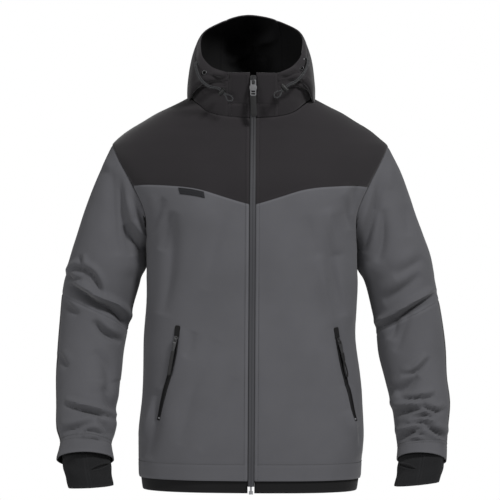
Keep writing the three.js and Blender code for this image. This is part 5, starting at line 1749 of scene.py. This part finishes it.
# %% Place the eyelets and the cord locks
EYELETS = {
    "upper_left": ((97.87, -57.5, 69.2), (0.7165, -0.583, 0.383)),
    "lower_left": ((90.73, -71.26, 51.66), (0.4597, -0.8304, 0.3149)),
    "upper_right": ((-104.83, -62.93, 60.18), (-0.6585, -0.6764, 0.33)),
    "lower_right": ((-91.71, -78.02, 41.64), (-0.406, -0.8718, 0.2742)),
}
EYELET_PROFILE = [
    (4.9, -1.6), (4.9, 0.1), (4.6, 0.6), (4.1, 0.85), (3.5, 0.75), (3.0, 0.3), (2.9, -0.5), (0.1, -0.5),
]
EYELET_SLOTS = [0, 0, 0, 0, 0, 1, 1]  # metal, then a dark disc across the hole: painted shade
LOCKS = {
    "left": ((59, -98, 12), (-0.75, -0.1, -0.65)),
    "right": ((-58, -98, 5), (0.74, -0.1, -0.66)),
}
LOCK_PROFILE = [
    (0.1, -6.6), (4.6, -6.6), (5.2, -6.2), (5.2, -5.2), (4.7, -4.8), (4.2, -4.5), (4.5, -2), (4.55, 2),
    (4.4, 5.6), (3.9, 6.5), (3.4, 6.6), (3.35, 7.2), (3.2, 9), (2.7, 9.5), (0.1, 9.6),
]


def axes_from(out, down):
    """Three axes with the third along out and the second near down."""
    out = unit(np.array(out, float))
    down = unit(np.array(down, float) - out * np.dot(out, down))
    return np.array([np.cross(down, out), down, out])


for which, (centre, out) in EYELETS.items():
    axes = axes_from(out, (0, 0, -1))
    made = lathe(f"eyelet_{which}_ring", EYELET_PROFILE, 28, centre, axes, [GUNMETAL, HOLE_SHADE], EYELET_SLOTS)
    fitted(made, "shell", f"eyelet_{which}", "metal_dark")
for name, (centre, enter) in LOCKS.items():
    along = unit(np.array(enter, float))
    out = unit(np.array((0, -1, 0)) + along * along[1])
    axes = (out, along, np.cross(along, out))
    slots = [0] * (len(LOCK_PROFILE) - 1)
    made = lathe(f"cord_lock_{name}_barrel", LOCK_PROFILE, 26, centre, axes, [RUBBER], slots)
    fitted(made, "shell", f"cord_lock_{name}", "moulded_black")
print(len(EYELETS), "eyelets and", len(LOCKS), "cord locks")

# %% [markdown]
# ## Sliders and pulls
#
# The main slider is a small plate with a bridge, and its metal link has a window for the bridge
# and two slots. A plain moulded tab grips the link's end. The left pocket's pull ends in a cord
# loop, the right one's in a narrow tab. Every pull is made where its own hinge holds it.

# %% Cut the main slider, its link and its tab
def bar_ring(x0, x1, y0, y1, radius=0.5):
    return rounded([(x0, y0), (x1, y0), (x1, y1), (x0, y1)], radius)


def slab(rings, thick, bevel, lift=0):
    return {"rings": rings, "thick": thick, "bevel": bevel, "lift": lift}


def mirrored(edge, radius):
    """An outline from its right half, with its corners rounded."""
    return rounded([*edge, *[(-x, y) for x, y in reversed(edge)]], radius)


MAIN_EDGE = [
    (4.6, -0.9), (5.4, 1.6), (5.4, 9.6), (6.8, 12.2), (6.8, 16), (5.6, 18.6), (5.6, 28.3), (4.1, 28.7),
    (2.9, 34.4),
]
MAIN_WINDOWS = [bar_ring(-2.4, 2.4, 1.2, 8), bar_ring(-3.6, 3.6, 19.6, 22.6), bar_ring(-3.6, 3.6, 24.2, 27)]
SLIDER_EDGE = [(3.8, -9), (5.8, -6.5), (5.6, 2), (4.4, 12)]
TAB_EDGE = [(5.5, 29.1), (5.7, 36), (5.4, 52), (5.5, 64.6), (3.6, 68)]
TAB_PAD = [(3.9, 33), (3.9, 62), (2.6, 65)]
TAB_LEAN = 0.06  # the tab hangs a little aslant from the link
LEAN_FROM = 31


def aslant(ring):
    return [(x - TAB_LEAN * max(y - LEAN_FROM, 0), y) for x, y in ring]


# Each frame is an origin and three axes: across the piece, down it and out of the cloth.
MAIN_FRAME = (
    (-0.09, -89.84, 27.9),
    ((-0.9989, -0.0474, 0), (-0.0115, 0.2419, -0.9702), (0.046, -0.9691, -0.2422)),
)
PULL_FRAME = (
    (0.067, -93.229, 27.056),
    ((-0.998874, -0.047438, 0), (0, 0, -1), (0.047438, -0.998874, 0)),
)
SLIDER_PARTS = [
    slab([mirrored(SLIDER_EDGE, 1.6)], 1.9, 0.5, 0.9),
    slab([bar_ring(-1.3, 1.3, -6, 6, 1.0)], 1.5, 0.5, 6.2),
    slab([bar_ring(-1.3, 1.3, -6, -4.3)], 5.4, 0.3, 4.2),
    slab([bar_ring(-1.3, 1.3, 4.3, 6)], 5.4, 0.3, 4.2),
]
LINK_PARTS = [slab([mirrored(MAIN_EDGE, 0.9), *MAIN_WINDOWS], 1.7, 0.5)]
GRIP_PARTS = [
    slab([aslant(mirrored(TAB_EDGE, 1.2))], 2.9, 0.7),
    slab([aslant(mirrored(TAB_PAD, 1.0))], 3.3, 0.3),
]
made = plates("front_zip_slider_body", SLIDER_PARTS, *MAIN_FRAME, GUNMETAL)
fitted(made, "shell", "front_zip_slider", "metal_dark")
made = plates("front_zip_link_plate", LINK_PARTS, *PULL_FRAME, LINK_METAL)
fitted(made, "front_zip_pull", "front_zip_link", "metal_dark")
made = plates("front_zip_tab_grip", GRIP_PARTS, *PULL_FRAME, RUBBER)
fitted(made, "front_zip_pull", "front_zip_tab", "moulded_black")
print("a main link with", len(MAIN_WINDOWS), "windows")

# %% Cut the pocket pulls
POCKET_FRAMES = {
    "left": (
        (164.531, -85.298, -459.167),
        ((-0.753975, -0.624564, -0.203573), (0.215022, 0.058181, -0.974875), (0.620715, -0.778804, 0.090428)),
    ),
    "right": (
        (-142.604, -102.3, -456.803),
        ((-0.892758, 0.413646, 0.178552), (-0.171227, 0.05506, -0.983692), (-0.416732, -0.908771, 0.021673)),
    ),
}
LINK_EDGE = [(3.3, -0.9), (3.8, 4), (3.8, 9), (2.6, 22), (1.8, 26.8)]
GRIP_EDGE = [(3.5, 22.4), (3.6, 50), (3.5, 66), (1.8, 69)]
STEM_EDGE = [(3.3, 22.4), (3.2, 30), (2.5, 38)]
LOOP_RADIUS = 1.4
for name, frame_of in POCKET_FRAMES.items():
    body_name = f"pocket_pull_{name}"
    link = [slab([mirrored(LINK_EDGE, 0.8), bar_ring(-1.6, 1.6, 1.2, 5.6)], 1.7, 0.45)]
    made = plates(f"pocket_link_{name}_plate", link, *frame_of, GUNMETAL)
    fitted(made, body_name, f"pocket_link_{name}", "metal_dark")
    if name == "right":
        tab = slab([mirrored(GRIP_EDGE, 0.9)], 2.8, 0.7)
        made = plates(f"pocket_tab_{name}_grip", [tab], *frame_of, RUBBER)
    else:
        tab = slab([mirrored(STEM_EDGE, 0.8)], 3.2, 0.8)
        made = plates(f"pocket_tab_{name}_stem", [tab], *frame_of, RUBBER)
        turns = np.linspace(0, 2 * math.pi, 40, endpoint=False)
        width = 3.1 * np.sin(turns) * (0.78 - 0.3 * np.cos(turns))
        drop = np.stack([width, 53 - 15.5 * np.cos(turns), 0 * turns], -1)
        ring = placed(drop, *frame_of) * MM
        loop = tube(f"pocket_tab_{name}_loop", ring, LOOP_RADIUS * MM, 10, closed=True)
        loop.data.materials.append(RUBBER)
        fitted(loop, body_name, f"pocket_tab_{name}", "moulded_black")
    fitted(made, body_name, f"pocket_tab_{name}", "moulded_black")

# %% Cut the pocket zips' stops
STOP = [slab([bar_ring(-1.9, 1.9, -1.6, 1.2)], 1.2, 0.35, 0.9)]
for name, side in SIDES:
    centres, across, outs = pocket_line(side)
    low = unit(centres[-1] - centres[-6])
    axes = (np.cross(low, outs[-2]), low, outs[-2])
    made = plates(f"pocket_stop_{name}", STOP, to_frame(centres[-2]) / MM, axes, PALE_METAL)
    fitted(made, "shell", None, "metal_pale")
for made, *_ in small_pieces:
    sealed(made)
print(len(small_pieces), "small pieces")

# %% [markdown]
# ## Stitches
#
# A line of stitching shows as a row of short threads, each sunk a little into the cloth. Hundreds of
# them are the same small shape, so Geometry Nodes lays them: a line is cut into steps as long as a
# stitch, and a thread is set on each step, turned along the line. Painting them on would look flat
# up close. The lines themselves come from the same surfaces as the cloth.

# %% Nodes that lay threads along a line
def stitching_nodes():
    """A tree with named inputs: stitch pitch, thread length, thread width, seed and thread finish."""
    tree = bpy.data.node_groups.new("lay_stitches", "GeometryNodeTree")
    for label, way, kind in (
        ("Line", "INPUT", "Geometry"),
        ("Stitch pitch", "INPUT", "Float"),
        ("Thread length", "INPUT", "Float"),
        ("Thread width", "INPUT", "Float"),
        ("Seed", "INPUT", "Int"),
        ("Thread finish", "INPUT", "Material"),
        ("Stitches", "OUTPUT", "Geometry"),
    ):
        tree.interface.new_socket(label, in_out=way, socket_type="NodeSocket" + kind)
    given = add_node(tree, "NodeGroupInput").outputs

    def step(kind, inputs, **settings):
        return add_node(tree, kind, inputs=inputs, **settings).outputs

    curve = step("GeometryNodeMeshToCurve", {0: given["Line"]})[0]
    cut = {"Curve": curve, "Length": given["Stitch pitch"]}
    steps = step("GeometryNodeResampleCurve", cut, mode="LENGTH")[0]
    ball = step("GeometryNodeMeshUVSphere", {"Segments": 6, "Rings": 4, "Radius": 0.5})[0]
    width = given["Thread width"]
    size = step("ShaderNodeCombineXYZ", {0: given["Thread length"], 1: width, 2: width})[0]
    thread = step("GeometryNodeTransform", {"Geometry": ball, "Scale": size})[0]
    along = step("GeometryNodeInputTangent", {})[0]
    turned = step("FunctionNodeAlignRotationToVector", {"Vector": along}, axis="X")[0]
    uneven = step("FunctionNodeRandomValue", {2: 0.85, 3: 1.1, "Seed": given["Seed"]}, data_type="FLOAT")[1]
    places = {"Points": steps, "Instance": thread, "Rotation": turned, "Scale": uneven}
    laid = step("GeometryNodeInstanceOnPoints", places)[0]
    real = step("GeometryNodeRealizeInstances", {0: laid})[0]
    done = step("GeometryNodeSetMaterial", {"Geometry": real, "Material": given["Thread finish"]})[0]
    add_node(tree, "NodeGroupOutput", inputs={0: done})
    return tree


STITCHING = stitching_nodes()
STITCH = {"Stitch pitch": 3.9 * MM, "Thread length": 2.0 * MM, "Thread width": 1.1 * MM, "Seed": 7}


def sew(name, lines, finish, **sizes):
    """One mesh of stitches along several lines, each an array of places."""
    points = np.concatenate(lines)
    starts = np.cumsum([0] + [len(line) for line in lines])
    edges = [(i, i + 1) for a, b in zip(starts[:-1], starts[1:]) for i in range(a, b - 1)]
    mesh = bpy.data.meshes.new(name)
    mesh.from_pydata([tuple(p) for p in to_frame(points)], edges, [])
    source = bpy.data.objects.new(name + "_lines", mesh)
    scene.collection.objects.link(source)
    modifier = source.modifiers.new("stitches", "NODES")
    modifier.node_group = STITCHING
    for item in STITCHING.interface.items_tree:
        if item.in_out == "INPUT" and item.name in STITCH:
            modifier[item.identifier] = sizes.get(item.name, STITCH[item.name])
        elif item.name == "Thread finish":
            modifier[item.identifier] = finish
    bpy.context.view_layer.update()
    stitched = bpy.data.meshes.new_from_object(source.evaluated_get(bpy.context.evaluated_depsgraph_get()))
    bpy.data.objects.remove(source)
    made = bpy.data.objects.new(name, stitched)
    scene.collection.objects.link(made)
    stitched.shade_smooth()
    if finish.name not in [m.name for m in stitched.materials if m]:
        stitched.materials.clear()
        stitched.materials.append(finish)
    print(name, len(stitched.polygons), "faces")
    return made

# %% Lines of stitching
def thread_finish(name, tone):
    material, tree, shader = new_finish(name, 0.7, specular=0.2, sheen=0.1)
    tones = two_tones(tree, speckle(tree, 1500, 2), (tone * 0.7, tone * 1.3))
    tree.links.new(tones, shader.inputs["Base Color"])
    return material


GREY_THREAD = thread_finish("grey_thread", 0.045)
DARK_THREAD = thread_finish("dark_thread", 0.006)
THREAD_LIFT = 0.05  # how far the threads' middles lie out from the plain cloth
LINE_STEP = 2.0
RIM_LINES = (17.2, 3.6)  # millimetres below the rim
CHIN_LINE = 2.31  # degrees off the chin guard's seam


def on_cloth(surface, a, b):
    place, out = surface(a, b)
    return place + out * THREAD_LIFT


def rim_line(below):
    """A line round the hood, some millimetres below its rim."""
    angles = np.linspace(seam_angle(LEFT) + 0.6, 360 - seam_angle(RIGHT) - 0.6, 220)
    ups = np.linspace(0.5, 1, 60)
    place, out = hood(*np.meshgrid(angles, ups))
    down = np.linalg.norm(np.diff(place, axis=0), axis=2)[::-1].cumsum(0)
    share = [np.interp(below, down[:, k], ups[::-1][1:]) for k in range(len(angles))]
    return on_cloth(hood, angles, np.array(share))


def zip_line(side, low, high):
    height = np.arange(low, high, LINE_STEP)
    return on_cloth(zip_face, side * ZIP_STITCH + 0 * height, height)


def chin_line(side):
    """Beside the seam between the chin guard and the hood."""
    height = np.arange(NECKLINE("height", 14) + 3, COLLAR_TOP - 2, LINE_STEP)
    return on_cloth(collar, side * (seam_angle(side) - CHIN_LINE) + 0 * height, height)

# %% Sew the zip, the hems, the sleeves, the collar, the hood and the label
hem_ends = [float(edge_angle(side * ZIP_STITCH, HEM_STITCH)) for side in (LEFT, RIGHT)]
hem_angles = np.linspace(hem_ends[0], 360 + hem_ends[1], 500)
grey_lines = [on_cloth(body, hem_angles, np.full(500, HEM_STITCH))]
dark_lines = [zip_line(side, HEM_HEIGHT + 3, COLLAR_TOP - 3) for side in (LEFT, RIGHT)]
dark_lines += [rim_line(below) for below in RIM_LINES]
around = np.linspace(0, 360, 160)
for side in (LEFT, RIGHT):
    for down in (SLEEVE_STITCH, SLEEVE_STITCH + SECOND_STITCH):
        grey_lines.append(on_cloth(sleeves[side], around, np.full(160, down)))
    dark_lines.append(chin_line(side))
tag = np.linspace(0.02, 0.98, 60)
tag_lines = [on_cloth(label_face, *label_where(tag, up + 0 * tag)) for up in (0.10, 0.90)]
tag_sizes = {"Stitch pitch": 2.2 * MM, "Thread length": 1.5 * MM}
sewn = [
    (sew("stitches_grey", grey_lines, GREY_THREAD), "softshell_grey"),
    (sew("stitches_dark", dark_lines, DARK_THREAD), "softshell_charcoal"),
    (sew("stitches_label", tag_lines, DARK_THREAD, **tag_sizes), "label_black"),
]

# %% [markdown]
# ## Finishes for the cords and the fittings that stay
#
# The cords are braided from fine yarns that cross as they wind round. The tube's own map gives the
# way along and the way round, so two slanted waves make the braid. The zip's retainer box and the
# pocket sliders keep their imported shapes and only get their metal.

# %% Braid the cords
BRAID_PITCH = 2.4 * MM
BRAID_SLANT = 1.6


def braid_finish():
    material, tree, shader = new_finish("braided_cord", 0.65, specular=0.3, sheen=0.2)
    along, around = cloth_ways(tree)[:2]
    slants = (BRAID_SLANT, -BRAID_SLANT)
    yarns = [waves(tree, combined(tree, along, around, 1, slant), BRAID_PITCH) for slant in slants]
    braid = combined(tree, *yarns, 0.5, 0.5)
    # The colour follows the braid's relief: painted shade in its hollows and a painted highlight on its
    # crests.
    tree.links.new(two_tones(tree, braid, (0.008, 0.036), (0.94, 1, 1.15)), shader.inputs["Base Color"])
    bumped(tree, shader, braid, 0.25, 0.8)
    return material


BRAID = braid_finish()
for cord, line, length in cords.values():
    cord.data.materials.append(BRAID)
KEPT = {"front_zip_box": PALE_METAL, "pocket_slider_left": GUNMETAL, "pocket_slider_right": GUNMETAL}
for node, finish in KEPT.items():
    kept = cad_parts[node]
    kept.data.materials.clear()
    kept.data.materials.append(finish)
print(len(KEPT), "packed pieces kept")

# %% [markdown]
# ## Light and floor
#
# The photo has even, soft light, a little stronger from the picture's right, and a white
# background. A large lamp at the upper right shapes the creases, a wider one on the left fills
# them, and the white world adds the rest. The world looks whiter to the camera than it shines.

# %% Light the set
WORLD_LIGHT = 0.24
WORLD_SEEN = 1.0
FLOOR_HALF = 3
FLOOR_HEIGHT = -1.5
AIM = (0, 0, -0.3)

world = bpy.data.worlds.new("studio")
scene.world = world
world.use_nodes = True
tree = world.node_tree
tree.nodes.clear()
seen = add_node(tree, "ShaderNodeLightPath").outputs["Is Camera Ray"]
strength = add_node(tree, "ShaderNodeMix", data_type="FLOAT")
tree.links.new(seen, strength.inputs[0])
strength.inputs[2].default_value = WORLD_LIGHT
strength.inputs[3].default_value = WORLD_SEEN
glow = add_node(tree, "ShaderNodeBackground", inputs={"Color": (1, 1, 1, 1), "Strength": strength.outputs[0]})
add_node(tree, "ShaderNodeOutputWorld", inputs={"Surface": glow.outputs[0]})
scene.view_settings.view_transform = "Standard"


def soft_light(name, place, size, power):
    """A round lamp, its size in metres and its power in watts."""
    data = bpy.data.lights.new(name, "AREA")
    data.shape = "DISK"
    data.size = size
    data.energy = power
    lamp = bpy.data.objects.new(name, data)
    lamp.location = place
    lamp.rotation_euler = (Vector(AIM) - Vector(place)).to_track_quat("-Z", "Y").to_euler()
    scene.collection.objects.link(lamp)


soft_light("key", (2.0, -2.5, 2.6), 0.8, 168)
soft_light("fill", (-2.8, -3.0, 0.9), 1.4, 62)
corners = [(x * FLOOR_HALF, y * FLOOR_HALF, FLOOR_HEIGHT) for x, y in ((-1, -1), (1, -1), (1, 1), (-1, 1))]
pale = even_finish("pale_floor", (0.8, 0.8, 0.8), 0.9)
floor = new_object("floor", corners, [(0, 1, 2, 3)], smooth=False, materials=[pale])
print("two lamps aimed at", AIM)

# %% [markdown]
# ## Riding on the imported bodies
#
# Every piece rides on a body of the imported model and stands for its solid, which is hidden. For
# each panel the size it was cut to is worked out and printed.

# %% Ride and replace
CLOTH_SLOTS = (
    ("front_zip", "zip_tape"),
    ("front_yoke", "softshell_charcoal"),
    ("back_yoke", "softshell_charcoal"),
    ("forearm_back", "softshell_charcoal"),
    ("collar", "softshell_charcoal"),
    ("chin", "softshell_charcoal"),
    ("hood", "softshell_charcoal"),
    ("cuff", "knit_black"),
    ("hem_band", "elastic_black"),
    ("label", "label_black"),
    ("", "softshell_grey"),
)
FILLED = 0.98  # a curved piece is cut from an oblong that it fills no more than this
for name, (made, flat, area) in panels.items():
    node = name.replace("_cloth", "")
    slot = next(slot for start, slot in CLOTH_SLOTS if node.startswith(start))
    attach(made, "shell")
    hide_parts(node)
    wider = max(1.0, area / (FILLED * flat[0] * flat[1])) ** 0.5
    cut = (flat[0] * wider, flat[1] * wider)
    print(node, "cut", [round(v, 3) for v in cut], "area", round(area, 4))
for made, body_name, node, slot in small_pieces:
    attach(made, body_name)
    if node:
        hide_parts(node)
for made, slot in sewn:
    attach(made, "shell")
for side_name, (cord, line, length) in cords.items():
    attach(cord, "shell")
    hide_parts(f"cord_{side_name}")
    tuple(float(v) for v in line[0])
    [tuple(float(v) for v in p) for p in line[:: (len(line) - 1) // 22]]
